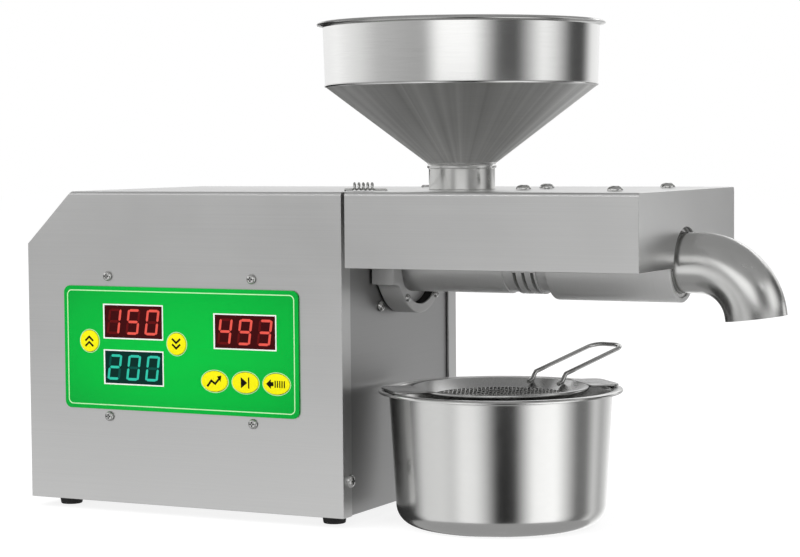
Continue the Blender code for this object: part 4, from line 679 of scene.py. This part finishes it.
def make_outlet():
    """Curved pipe and the collar that holds it on the barrel."""
    bend_start, bend_radius, bend_angle, lip, steps = 0.3736, 0.03, radians(83), 0.0018, 28
    points = [on_axis(x) for x in (0.3526, 0.36, 0.367)]
    for step in range(steps + 1):
        angle = bend_angle * step / steps
        points.append(spot(bend_start + bend_radius * sin(angle), axis_y,
            axis_z - bend_radius * (1 - cos(angle))))
    points.append(points[-1] + Vector((cos(bend_angle), 0.0, -sin(bend_angle))) * lip)
    pipe = tube_mesh("outlet_pipe", points, 0.016, 64, 0.0015)
    collar = ring_mesh("outlet_collar", 0.015, 0.0182, 0.0, 0.005, on_axis(0.3526))
    show(joined("outlet_shape", [pipe, collar], 40.0), pipe_steel, "outlet_elbow")
    ring = ring_mesh("band_end_ring", 0.0162, 0.0184, 0.0, 0.0052, on_axis(0.358), 0.0003)
    show(ring, pipe_steel)


def make_hopper():
    """Hopper: neck with a bead, cone, upright band, and a rim rolled outwards."""
    rim, mouth, band, neck, wall = 0.0785, 0.0751, 0.0742, 0.018, 0.0008
    top, fold, band_low, neck_top, foot = 0.269, 0.2672, 0.2347, 0.1925, 0.1591
    outline = [(neck - wall, foot), (neck, foot)]
    outline += beside(neck, neck_top, ((0.0, -0.0032), (0.0002, -0.0025), (0.0008, -0.0022),
        (0.0009, -0.0012), (0.0004, -0.0004), (0.0008, 0.0003)))
    outline += beside(band, band_low, ((-0.0009, -0.0006), (0.0001, -0.0002), (0.0003, 0.0002),
        (0.0003, 0.0008), (0.0, 0.001)))
    outline += beside(mouth, fold, ((0.0, -0.0008), (0.0006, -0.0002)))
    outline += beside(rim, fold, ((-0.0014, 0.0002), (-0.0004, 0.0004), (0.0, 0.0009)))
    outline += beside(rim, top, ((-0.0003, -0.0004), (-0.001, 0.0)))
    outline += beside(mouth, top, ((0.001, -0.0001), (0.0, -0.0006)))
    outline += [(mouth - wall, fold - 0.0004), (band - wall, band_low + 0.0006),
        (neck + 0.0001, neck_top + 0.0006), (neck - wall, neck_top - 0.0006)]
    mesh = turned_mesh("hopper_shape", outline, spot(hopper_x, axis_y, 0.0), "Z", 160, True, 30.0)
    show(mesh, hopper_steel, "hopper")
    mesh.materials.append(pan_steel)
    for face in mesh.polygons:
        if face.center.z < neck_top - 0.001:
            face.material_index = 1


def make_pan():
    """Drawn pan: flat base, round bend, flared wall, and a rim rolled outwards and down."""
    rim, mouth, base, wall, bend, top = 0.0655, 0.0597, 0.0563, 0.001, 0.011, pan_height
    outline = [(0.0, wall), (0.02, wall), (0.04, wall)]
    outline += arc((base - bend, bend), bend - wall, -quarter_turn, 0.0, 10)
    outline += [(mouth - wall, top - 0.003)]
    outline += beside(mouth, top, ((-0.0002, -0.0012), (0.0012, -0.0002), (0.0024, 0.0)))
    outline += beside(rim, top, ((-0.0012, -0.0001), (-0.0003, -0.0004), (0.0, -0.001), (-0.0001, -0.0016),
        (-0.0006, -0.0017), (-0.001, -0.0012)))
    outline += beside(mouth, top, ((0.0022, -0.001), (0.0006, -0.0018), (0.0, -0.0034)))
    outline += arc((base - bend, bend), bend, 0.0, -quarter_turn, 10)
    outline += [(0.03, 0.0), (0.028, 0.0006), (0.0, 0.0006)]
    mesh = turned_mesh("pan_shape", outline, spot(pan_x, pan_y, 0.0), "Z", 160, False, 30.0)
    show(mesh, pan_steel, "oil_pan")


def make_strainer():
    """Dished ring with two rest tabs, a bowl of woven wire, and a bent wire handle."""
    centre = spot(pan_x, pan_y, 0.0)
    top = pan_height + 0.0012
    outer, inner, drop = 0.0475, 0.035, 0.0045
    outline = beside(outer, top, ((-0.0012, 0.0), (-0.0003, -0.0003), (0.0, -0.0009), (-0.0001, -0.0016),
        (-0.0006, -0.0016), (-0.001, -0.001), (-0.0022, -0.0012)))
    outline += beside(inner, top - drop, ((0.0004, -0.0009), (0.0, -0.0008), (0.0, 0.0), (0.0006, 0.0001)))
    outline += [(outer - 0.0024, top - 0.0002)]
    parts = [turned_mesh("strainer_ring", outline, centre, "Z", 128, True, 40.0)]
    near, half, reach, round_corner = 0.0455, 0.017, 0.0628, 0.006
    loop = [(near, -half), (reach - round_corner, -half)]
    loop += arc((reach - round_corner, -half + round_corner), round_corner, -quarter_turn, 0.0, 5)
    loop += arc((reach - round_corner, half - round_corner), round_corner, 0.0, quarter_turn, 5)
    loop += [(near, half)]
    base = pan_height + gap
    for bearing in (42, 222):
        tab = plate_mesh("rest_tab", [loop], base, base + 0.0011, as_drawn, 0.0003)
        parts.append(stood(tab, centre, radians(bearing), "Z"))
    show(joined("strainer_shape", parts, 36.0), painted_shade_strainer_steel, "strainer_frame")

    bowl_radius, bowl_depth, cloth = 0.0347, 0.0085, 0.0008
    rim_z = top - drop - 0.001
    bowl = []
    for step in range(13):
        share = step / 12
        bowl.append((bowl_radius * share, rim_z - bowl_depth * (1 - share ** 2) + cloth))
    under = [(radius, height - cloth) for radius, height in reversed(bowl)]
    mesh = turned_mesh("strainer_cloth", bowl + under, centre, "Z", 96, False, 40.0)
    show(mesh, strainer_cloth, "strainer_mesh")
    spacing, thickness, edge = 0.0021, 0.00026, 0.0341
    wires = []
    for index in range(-15, 16):
        offset = index * spacing
        half = sqrt(edge ** 2 - offset ** 2)
        line = []
        for step in range(13):
            along = half * (step / 6 - 1)
            share = hypot(offset, along) / bowl_radius
            line.append((along, offset, rim_z - bowl_depth * (1 - share ** 2) + cloth + thickness * 0.5))
        wires.append(tube_mesh("wire", line, thickness, 5))
        wires.append(tube_mesh("wire", [(y, x, z + thickness) for x, y, z in line], thickness, 5))
    weave = stood(joined("strainer_wires", wires, 60.0), centre, radians(20), "Z")
    show(weave, bright_steel, body="strainer")

    half, bend, reach, round_corner, wire = 0.0105, 0.043, 0.0965, 0.007, 0.0012
    cone = (drop - 0.001) / (outer - 0.002 - inner)
    bend_z = top + wire + gap + 0.002
    slope = 0.0118 / (reach - bend)
    side = []
    for x in (0.0365, 0.0385, 0.04):
        side.append((x, half, top - drop + (hypot(x, half) - inner) * cone + wire * hypot(1, cone) + 2 * gap))
    foot_lift = bend_z + (0.0415 - bend) * slope
    side.append((0.0415, half, (foot_lift + side[-1][2]) / 2 + 0.0004))
    line = [(x, half) for x in (0.043, 0.046, 0.055, 0.065, 0.075, 0.084)]
    line += arc((reach - round_corner, half - round_corner), round_corner, quarter_turn, 0.0, 10)
    side += [(x, y, bend_z + (x - bend) * slope) for x, y in line]
    mesh = tube_mesh("strainer_handle_shape", side + [(x, -y, z) for x, y, z in reversed(side)], wire, 20)
    show(stood(mesh, centre, radians(74), "Z"), bright_steel, "strainer_handle")


def make_feet():
    """Rubber feet, each with a stud through the base."""
    for node in ("foot_front_left", "foot_front_right", "foot_back_left", "foot_back_right"):
        low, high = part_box(node)
        centre = Vector(((low[0] + high[0]) / 2, (low[1] + high[1]) / 2, 0.0))
        outline = soften([(0.0, 0.0), (0.0058, 0.0), (0.0061, 0.0006), (0.0067, 0.005), (0.0063, 0.0052),
            (0.0022, 0.0052), (0.0022, 0.0102), (0.0, 0.0102)], 0.0004, 3, False)
        mesh = turned_mesh(f"{node}_shape", outline, centre, "Z", 48, False)
        show(mesh, black_rubber, node)


def make_screw(name, centre, outward, size, node=None, finish=bright_steel):
    """Pan-head screw with a near-black cross on its head, painted shade standing for its cross recess;
    outward is the way its head points.

    Size gives the radius and height of its head and the radius and length of its shank.
    """
    radius, height, shank, tail = size
    half, wide = radius * 0.52, radius * 0.13
    outline = [(0.0, height), (radius * 0.45, height * 0.97), (radius * 0.75, height * 0.82),
               (radius * 0.93, height * 0.52), (radius, height * 0.2), (radius * 0.98, 0.0), (shank, 0.0),
               (shank, -tail), (0.0, -tail)]
    loop = [(wide, wide), (half, wide), (half, -wide), (wide, -wide), (wide, -half), (-wide, -half),
        (-wide, -wide), (-half, -wide), (-half, wide), (-wide, wide), (-wide, half), (wide, half)]
    level = height * 0.97
    head = turned_mesh(name, outline, origin, "Z", 40, False)
    # A flat near-black cross on the head: painted shade for the cross recess
    cross = plate_mesh(f"{name}_cross", [loop], level, level + height * 0.02, as_drawn)
    turn = Matrix.Translation(centre) @ Vector(outward).to_track_quat("Z", "Y").to_matrix().to_4x4()
    head.transform(turn)
    cross.transform(turn)
    show(head, finish, node)
    show(cross, painted_shade_black, body=body_of_node.get(node, "casing"))


def make_screws():
    """All screws but those of the back wall."""
    places = [(x, z) for x in (0.0535, 0.1455) for z in (0.0535, 0.1316)]
    for index, (x, z) in enumerate(places, 1):
        make_screw(f"panel_screw_{index}_shape", spot(x, -gap, z), (0.0, -1.0, 0.0),
            (0.00272, 0.0016, 0.0015, 0.0125), f"panel_screw_{index}")
    places = ((0.279, 0.059), (0.279, 0.091), (0.34, 0.0355), (0.34, 0.1145))
    for index, (x, y) in enumerate(places, 1):
        make_screw(f"hood_screw_{index}_shape", spot(x, y, casing_top + gap), (0.0, 0.0, 1.0),
                   (0.00415, 0.0024, 0.0015, 0.005), f"hood_screw_{index}")
    side_size, wall_size, bolt_size = ((0.0036, 0.0022, 0.0018, 0.0035), (0.003, 0.002, 0.0015, 0.004),
        (0.0022, 0.0018, 0.001, 0.004))
    for name, size, place in (
            ("side_screw", side_size, (casing_width, 0.0076, 0.0247)),
            ("side_screw_back", side_size, (casing_width, casing_depth - 0.0076, 0.0247)),
            ("wall_screw_front", wall_size, (0.1988, axis_y - 0.0237, 0.1154)),
            ("wall_screw_back", wall_size, (0.1988, axis_y + 0.0237, 0.1154)),
            ("seat_bolt_front", bolt_size, (0.2121, axis_y - 0.0178, axis_z - 0.0208)),
            ("seat_bolt_back", bolt_size, (0.2121, axis_y + 0.0178, axis_z - 0.0208))):
        make_screw(name, spot(*place), (1.0, 0.0, 0.0), size)


def make_springs():
    """Springs across the seam of casing and hood, each end bent down into a hole."""
    radius, wire, hook, coils, per_coil = 0.0017, 0.00058, 0.0011, 5, 24
    left, right, start, length = 0.1892, 0.2145, 0.194, 0.0132
    middle = casing_top + gap + 0.0005 + radius
    for name, y in (("hood_spring_front", 0.025), ("hood_spring_back", 0.12)):
        points = [(left, 0.0, casing_top - 0.0022), (left, 0.0, casing_top - 0.0008)]
        low = middle - radius - hook
        points += [(x, 0.0, z) for x, z in arc((left + hook, low), hook, half_turn, quarter_turn, 6)]
        for step in range(coils * per_coil + 1):
            angle = full_turn * step / per_coil - quarter_turn
            points.append((start + length * step / (coils * per_coil), radius * cos(angle),
                           middle + radius * sin(angle)))
        points += [(x, 0.0, z) for x, z in arc((right - hook, low), hook, quarter_turn, 0.0, 6)]
        points += [(right, 0.0, casing_top - 0.0008), (right, 0.0, casing_top - 0.0022)]
        mesh = tube_mesh(f"{name}_shape", [spot(x, y + across, z) for x, across, z in points], wire, 10)
        show(mesh, bright_steel, name)


def window_edge(x, z, left=0.0, bottom=0.0, right=0.0, top=0.0):
    """A display window's outline, with each side moved outwards."""
    return rectangle(x - window_width / 2 - left, z - window_height / 2 - bottom,
        x + window_width / 2 + right, z + window_height / 2 + top)


def make_panel():
    """Green plate with its printed border, white window frames and yellow keys."""
    left, bottom, right, top, thick = 0.0247, 0.0575, 0.1743, 0.126, 0.0008
    inset, line, ring = 0.0022, 0.00055, 0.0014
    front = gap + thick
    keys = (("raise", 0.0417, 0.0953, 0.0119, 0.0119), ("lower", 0.0985, 0.0953, 0.0119, 0.0119),
            ("power", 0.1224, 0.0758, 0.0162, 0.0112), ("press", 0.1417, 0.0758, 0.0162, 0.0112),
            ("reverse", 0.1609, 0.0758, 0.0162, 0.0112))
    loops = [round_rectangle(left, bottom, right, top, 0.004, 10)] + [window_edge(x, z) for x, z in windows]
    loops += [ellipse(x, z, width + 2 * gap, height + 2 * gap) for _, x, z, width, height in keys]
    plate = plate_mesh("panel_plate", loops, gap, front, facing_front, 0.00012)
    show(plate, green_film, "control_panel")
    loops = []
    for inside, radius in ((inset, 0.003), (inset + line, 0.0025)):
        loops.append(round_rectangle(left + inside, bottom + inside, right - inside, top - inside,
                                     radius, 10))
    border = plate_mesh("panel_border", loops, front, front + 0.00003, facing_front)
    show(border, film_line)
    frames = []
    for x, z in windows:
        loops = [window_edge(x, z, 0.0002, 0.0004, 0.0004, 0.0004),
                 window_edge(x, z, -0.0007, -0.0003, -0.0003, -0.0003)]
        frames.append(plate_mesh("window_frame", loops, front, front + 0.00008, facing_front))
    show(joined("window_frames", frames), frame_white)
    rings = []
    for name, x, z, width, height in keys:
        loops = [ellipse(x, z, width + ring, height + ring), ellipse(x, z, width + 2 * gap, height + 2 * gap)]
        rings.append(plate_mesh("key_ring", loops, front, front + 0.00006, facing_front))
        make_key(name, x, z, width, height)
    show(joined("key_rings", rings), film_line)


def stroke(points, width):
    """The outline of a line of even width through the points."""
    left, right = [], []
    for index, point in enumerate(points):
        here = Vector(point)
        before = (here - Vector(points[index - 1])).normalized() if index else None
        after = (Vector(points[index + 1]) - here).normalized() if index + 1 < len(points) else None
        ahead = ((before or after) + (after or before)).normalized()
        side = Vector((-ahead.y, ahead.x))
        reach = width / 2 / max(0.4, abs(ahead.dot(before or after)))
        left.append(tuple(here + side * reach))
        right.append(tuple(here - side * reach))
    return left + right[::-1]


def key_marks(name, x, z):
    """The outlines printed on a key."""
    if name in ("raise", "lower"):
        up = 1.0 if name == "raise" else -1.0
        return [stroke([(x - 0.0026, z + up * base), (x, z + up * (base + 0.0023)),
            (x + 0.0026, z + up * base)], 0.0011) for base in (-0.0029, 0.0001)]
    if name == "power":
        line = beside(x, z, ((-0.0044, -0.0028), (-0.0018, 0.0004), (0.0006, -0.0012), (0.0032, 0.0016)))
        return [stroke(line, 0.0012), beside(x, z, ((0.0046, 0.0034), (0.004, 0.0), (0.0018, 0.0028)))]
    if name == "press":
        return [beside(x, z, ((-0.0026, -0.003), (0.0014, 0.0), (-0.0026, 0.003))),
                rectangle(x + 0.0019, z - 0.003, x + 0.0027, z + 0.003)]
    marks = [beside(x, z, ((-0.0062, 0.0), (-0.0032, -0.0026), (-0.0032, 0.0026))),
             rectangle(x - 0.0033, z - 0.0011, x - 0.0016, z + 0.0011)]
    for index in range(5):
        start = x - 0.0009 + index * 0.0014
        marks.append(rectangle(start, z - 0.0019, start + 0.0007, z + 0.0019))
    return marks


def make_key(name, x, z, width, height):
    """A key's cap, the stem behind it, and its printed mark."""
    back, front, thin = 0.0011 + 0.0007 - 0.0032, 0.0018, 0.00001
    cap = plate_mesh(f"{name}_cap", [ellipse(x, z, width, height)], back, front, facing_front, 0.0003, 50.0)
    stem = turned_mesh(f"{name}_stem", rectangle(0.0, 0.0, 0.0015, 0.008), origin, "Z", 24, False)
    stood(stem, spot(x, 0.0007, z), -quarter_turn, "X")
    show(joined(f"{name}_key_cap", [cap, stem], 50.0), yellow_key, f"{name}_button")
    marks = [plate_mesh("mark", [loop], front - thin, front + 3 * thin, facing_front)
             for loop in key_marks(name, x, z)]
    show(joined(f"{name}_key_mark", marks), key_print, body=f"{name}_key")


segments_of = {"0": "abcdef", "1": "bc", "2": "abged", "3": "abgcd", "4": "fgbc", "5": "afgcd", "9": "abcdfg"}


def make_display(name, x, z, digits, lit_finish, unlit_finish, window_finish):
    """Three slanted seven-segment digits behind a dark window."""
    node = f"{name}_display"
    frame["nodes"][node].material_slots[0].material = window_finish
    level = -(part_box(node)[0][1] - corner.y) + 0.00002
    half_h, half_w, cut_back, lean, pitch, small = 0.0142 / 2, 0.0082 / 2, 0.0014 / 2, 0.14, 0.01235, 0.00022
    high, wide = half_h - cut_back, half_w - cut_back
    bars = {"a": (0.0, high), "g": (0.0, 0.0), "d": (0.0, -high), "f": (-wide, half_h / 2),
        "b": (wide, half_h / 2), "e": (-wide, -half_h / 2), "c": (wide, -half_h / 2)}
    bright, dim = [], []
    for index, digit in enumerate(digits):
        middle = x + (index - 1) * pitch
        for key, (side, up) in bars.items():
            lying = side == 0.0
            reach = wide - small if lying else half_h / 2 - small - cut_back * 0.15
            tip = reach - cut_back
            bar = ((-reach, 0.0), (-tip, cut_back), (tip, cut_back), (reach, 0.0), (tip, -cut_back),
                (-tip, -cut_back))
            points = [(a, up + b) if lying else (side + b, up - a) for a, b in bar]
            loop = [(middle + a + lean * b, z + b) for a, b in points]
            mesh = plate_mesh("segment", [loop], level, level + 0.00004, facing_front)
            (bright if key in segments_of[digit] else dim).append(mesh)
    for part, meshes, finish in (("digits", bright, lit_finish), ("unlit", dim, unlit_finish)):
        show(joined(f"{name}_{part}", meshes), finish)


def make_back_fittings():
    """Mains inlet and rocker switch on the back wall, and the wall's screws."""
    for node, bevel in (("power_inlet", 0.0003), ("switch_frame", 0.0003), ("switch_rocker", 0.0002)):
        smooth_copy(node, bevel)
    outward = (0.0, 1.0, 0.0)
    for index, x in enumerate((0.15 - 0.0133, 0.15 + 0.0133)):
        make_screw(f"inlet_screw_{index}", spot(x, casing_depth + gap + 0.002, 0.038), outward,
                   (0.0014, 0.0009, 0.0008, 0.003), finish=black_plastic)
    for index, (x, z) in enumerate(((0.01, 0.013), (0.19, 0.013), (0.19, 0.16)), 1):
        make_screw(f"back_screw_{index}", spot(x, casing_depth, z), outward, (0.003, 0.0019, 0.0015, 0.004))


make_seat()
make_barrel()
make_heater_band()
make_outlet()
make_hopper()
make_pan()
make_strainer()
make_feet()
make_screws()
make_springs()
make_panel()
make_display("current", *windows[0], "150", red_lit, red_unlit, red_window)
make_display("target", *windows[1], "200", cyan_lit, cyan_unlit, cyan_window)
make_display("timer", *windows[2], "493", red_lit, red_unlit, red_window)
make_back_fittings()

# Studio: pale floor, white surround, soft lamps, cards that only polished metal shows
toward = Vector((0.44554, -0.89526, 0.0))
rightward = Vector((0.89526, 0.44554, 0.0))


def staged(name, mesh, finish):
    """Put a mesh in the studio."""
    mesh.materials.append(finish)
    item = placed(name, mesh)
    return item


def card(name, corners, finish):
    mesh = bpy.data.meshes.new(name)
    mesh.from_pydata([tuple(point) for point in corners], [], [tuple(range(len(corners)))])
    return staged(name, mesh, finish)


def floor_finish():
    """Pale floor that the camera sees a little brighter than it is lit, so that it stays near white."""
    finish = Finish("floor_white", (0.92, 0.92, 0.92), 0.9)
    finish.feed("Base Color", finish.tint(finish.noise(1.5, 2.0), (0.9, 0.9, 0.9), (0.93, 0.93, 0.93)))
    seen = finish.node("LightPath", output="Is Camera Ray")
    finish.surface(finish.node("MixShader", {}, {0: seen * 0.72, 1: Flow(finish, finish.shader.outputs[0]),
        2: finish.glow((1.0, 1.0, 1.0, 1.0), 1.16)}))
    return finish.material


def only_in_metal(item):
    for ray in ("camera", "diffuse", "shadow", "transmission"):
        setattr(item, f"visible_{ray}", False)


def surround_finish(name, centre, levels, closed=False):
    """Greys of the room by bearing, in degrees, as polished metal shows them."""
    brightest, ground_grey = 1.4, 0.3
    finish = Finish(name, (0.0, 0.0, 0.0), 1.0)
    offset = finish.vector("SUBTRACT", finish.place(), tuple(centre))
    side, forward = (finish.vector("DOT_PRODUCT", offset, tuple(way), 1) for way in (rightward, toward))
    share = side.bearing_from(forward) * (1 / full_turn) + 0.5
    height = finish.part(finish.place(), 2)
    lower = finish.node("MapRange", {}, {"Value": height, "From Min": -0.15, "From Max": 0.17, "To Min": 1.26,
        "To Max": 0.58 if closed else 1.18})
    wall = height.above(-0.44 if closed else -1.0)
    stops = tuple(((angle + 180) / 360, level / brightest) for angle, level in levels)
    grey = finish.band(share, stops) * lower * wall + ground_grey * (1.0 - wall)
    finish.surface(finish.glow(grey, brightest))
    return finish.material


def surround(name, centre, radius, low, high, closed, levels):
    """A ring wall, closed below where asked, seen only in polished metal of the given radius at its centre.

    Levels are given by the bearing that the metal mirrors, and are put where its surface sees them.
    """
    distance = 0.75
    view = eye - centre
    shift = degrees(atan2(view.dot(rightward), view.dot(toward)))
    places = []
    for angle, level in levels:
        slide = degrees(asin(radius * sin(radians(angle / 2)) / distance))
        places.append((max(-180.0, min(180.0, angle + shift - slide)), level))
    shape = bmesh.new()
    rows = []
    for size, height in [(distance, high), (distance, low)] + [(0.01, low)] * closed:
        rows.append([shape.verts.new(centre + Vector((size * cos(turn), size * sin(turn), height)))
                     for turn in turns(72)])
    for one, two in zip(rows, rows[1:]):
        bridge(shape, one, two)
    only_in_metal(staged(name, drawn(shape, name), surround_finish(name, centre, places, closed)))


def even_grey(name, level):
    return surround_finish(name, origin, ((-180, level), (180, level)))


floor_reach, roof_reach, card_distance = 6.0, 1.2, 0.7
corners = [(*point, 0.0) for point in rectangle(-floor_reach, -floor_reach, floor_reach, floor_reach)]
card("floor", corners, floor_finish()).visible_glossy = False
eye = spot(0.75637, -1.04874, 0.20392)
surround("upper_room", spot(hopper_x, axis_y, 0.0), 0.075, 0.198, 0.46, False, (
    (-180, 0.95), (-165, 0.9), (-125, 1.2), (-92, 0.92), (-72, 0.62), (-30, 0.44), (-18, 1.35), (10, 1.35),
    (30, 0.1), (47, 0.06), (70, 1.25), (82, 1.0), (102, 0.08), (121, 0.05), (137, 1.05), (180, 0.95)))
surround("lower_room", spot(pan_x, pan_y, 0.0), 0.058, -0.45, 0.198, True, (
    (-180, 0.06), (-165, 0.02), (-112, 0.04), (-93, 0.7), (-68, 0.74), (-54, 0.64), (-42, 0.95), (-28, 0.92),
    (-18, 0.62), (-4, 0.01), (15, 0.02), (36, 1.1), (62, 1.2), (76, 0.65), (90, 0.15), (104, 0.18),
    (118, 0.7), (132, 0.42), (165, 1.0)))
corners = []
for bearing, height in ((104, 0.07), (122, 0.07), (122, 0.19), (104, 0.19)):
    way = toward * cos(radians(bearing)) + rightward * sin(radians(bearing))
    corners.append(spot(pan_x, pan_y, height) + way * card_distance)
only_in_metal(card("end_card", corners, even_grey("end_grey", 1.15)))
corners = [(*point, 0.8) for point in rectangle(-roof_reach, -roof_reach, roof_reach, roof_reach)]
only_in_metal(card("roof_card", corners, even_grey("roof_grey", 0.3)))


def lamp(name, place, size, energy, aim=(0.0, 0.0, 0.1)):
    data = bpy.data.lights.new(name, "AREA")
    data.energy = energy
    data.shape = "SQUARE"
    data.size = size
    item = placed(name, data)
    item.location = place
    item.rotation_euler = (Vector(aim) - Vector(place)).to_track_quat("-Z", "Y").to_euler()


lamp("key_lamp", (-1.2, -1.8, 1.8), 1.6, 22.0)
lamp("fill_lamp", (1.9, -1.2, 1.2), 1.4, 12.0)
lamp("back_lamp", (0.6, 1.8, 1.7), 1.6, 12.0)
lamp("top_lamp", (0.0, 0.0, 2.4), 1.8, 16.0, (0.0, 0.0, 0.0))


def make_world():
    """White where the camera, metal or glass sees it, and dimmer as light on the object."""
    world = bpy.data.worlds.new("studio")
    bpy.context.scene.world = world
    world.use_nodes = True
    sky = Nodes(world.node_tree)
    camera, glossy, through = (sky.node("LightPath", output=f"Is {ray} Ray")
        for ray in ("Camera", "Glossy", "Transmission"))
    level = sky.node("MapRange", {}, {"Value": camera + glossy + through, "To Min": 0.6, "To Max": 1.0})
    ground = world.node_tree.nodes["Background"]
    sky.join(ground.inputs["Color"], (1.0, 1.0, 1.0, 1.0))
    sky.join(ground.inputs["Strength"], level)


def make_camera():
    """The photograph's camera, as fitted to the casing's edges."""
    yaw, pitch, roll = 0.46178386, 0.05981757, -0.0080238
    ahead = Vector((-sin(yaw) * cos(pitch), cos(yaw) * cos(pitch), -sin(pitch)))
    right = Vector((cos(yaw), sin(yaw), 0.0))
    up = right.cross(ahead)
    across = right * cos(roll) + up * sin(roll)
    upward = up * cos(roll) - right * sin(roll)
    data = bpy.data.cameras.new("camera")
    data.sensor_width = 36.0
    data.lens = 101.78
    item = placed("camera", data)
    item.matrix_world = Matrix.Translation(eye) @ Matrix((across, upward, -ahead)).transposed().to_4x4()
    bpy.context.scene.camera = item


make_world()
make_camera()
bpy.context.scene.view_settings.view_transform = "Standard"
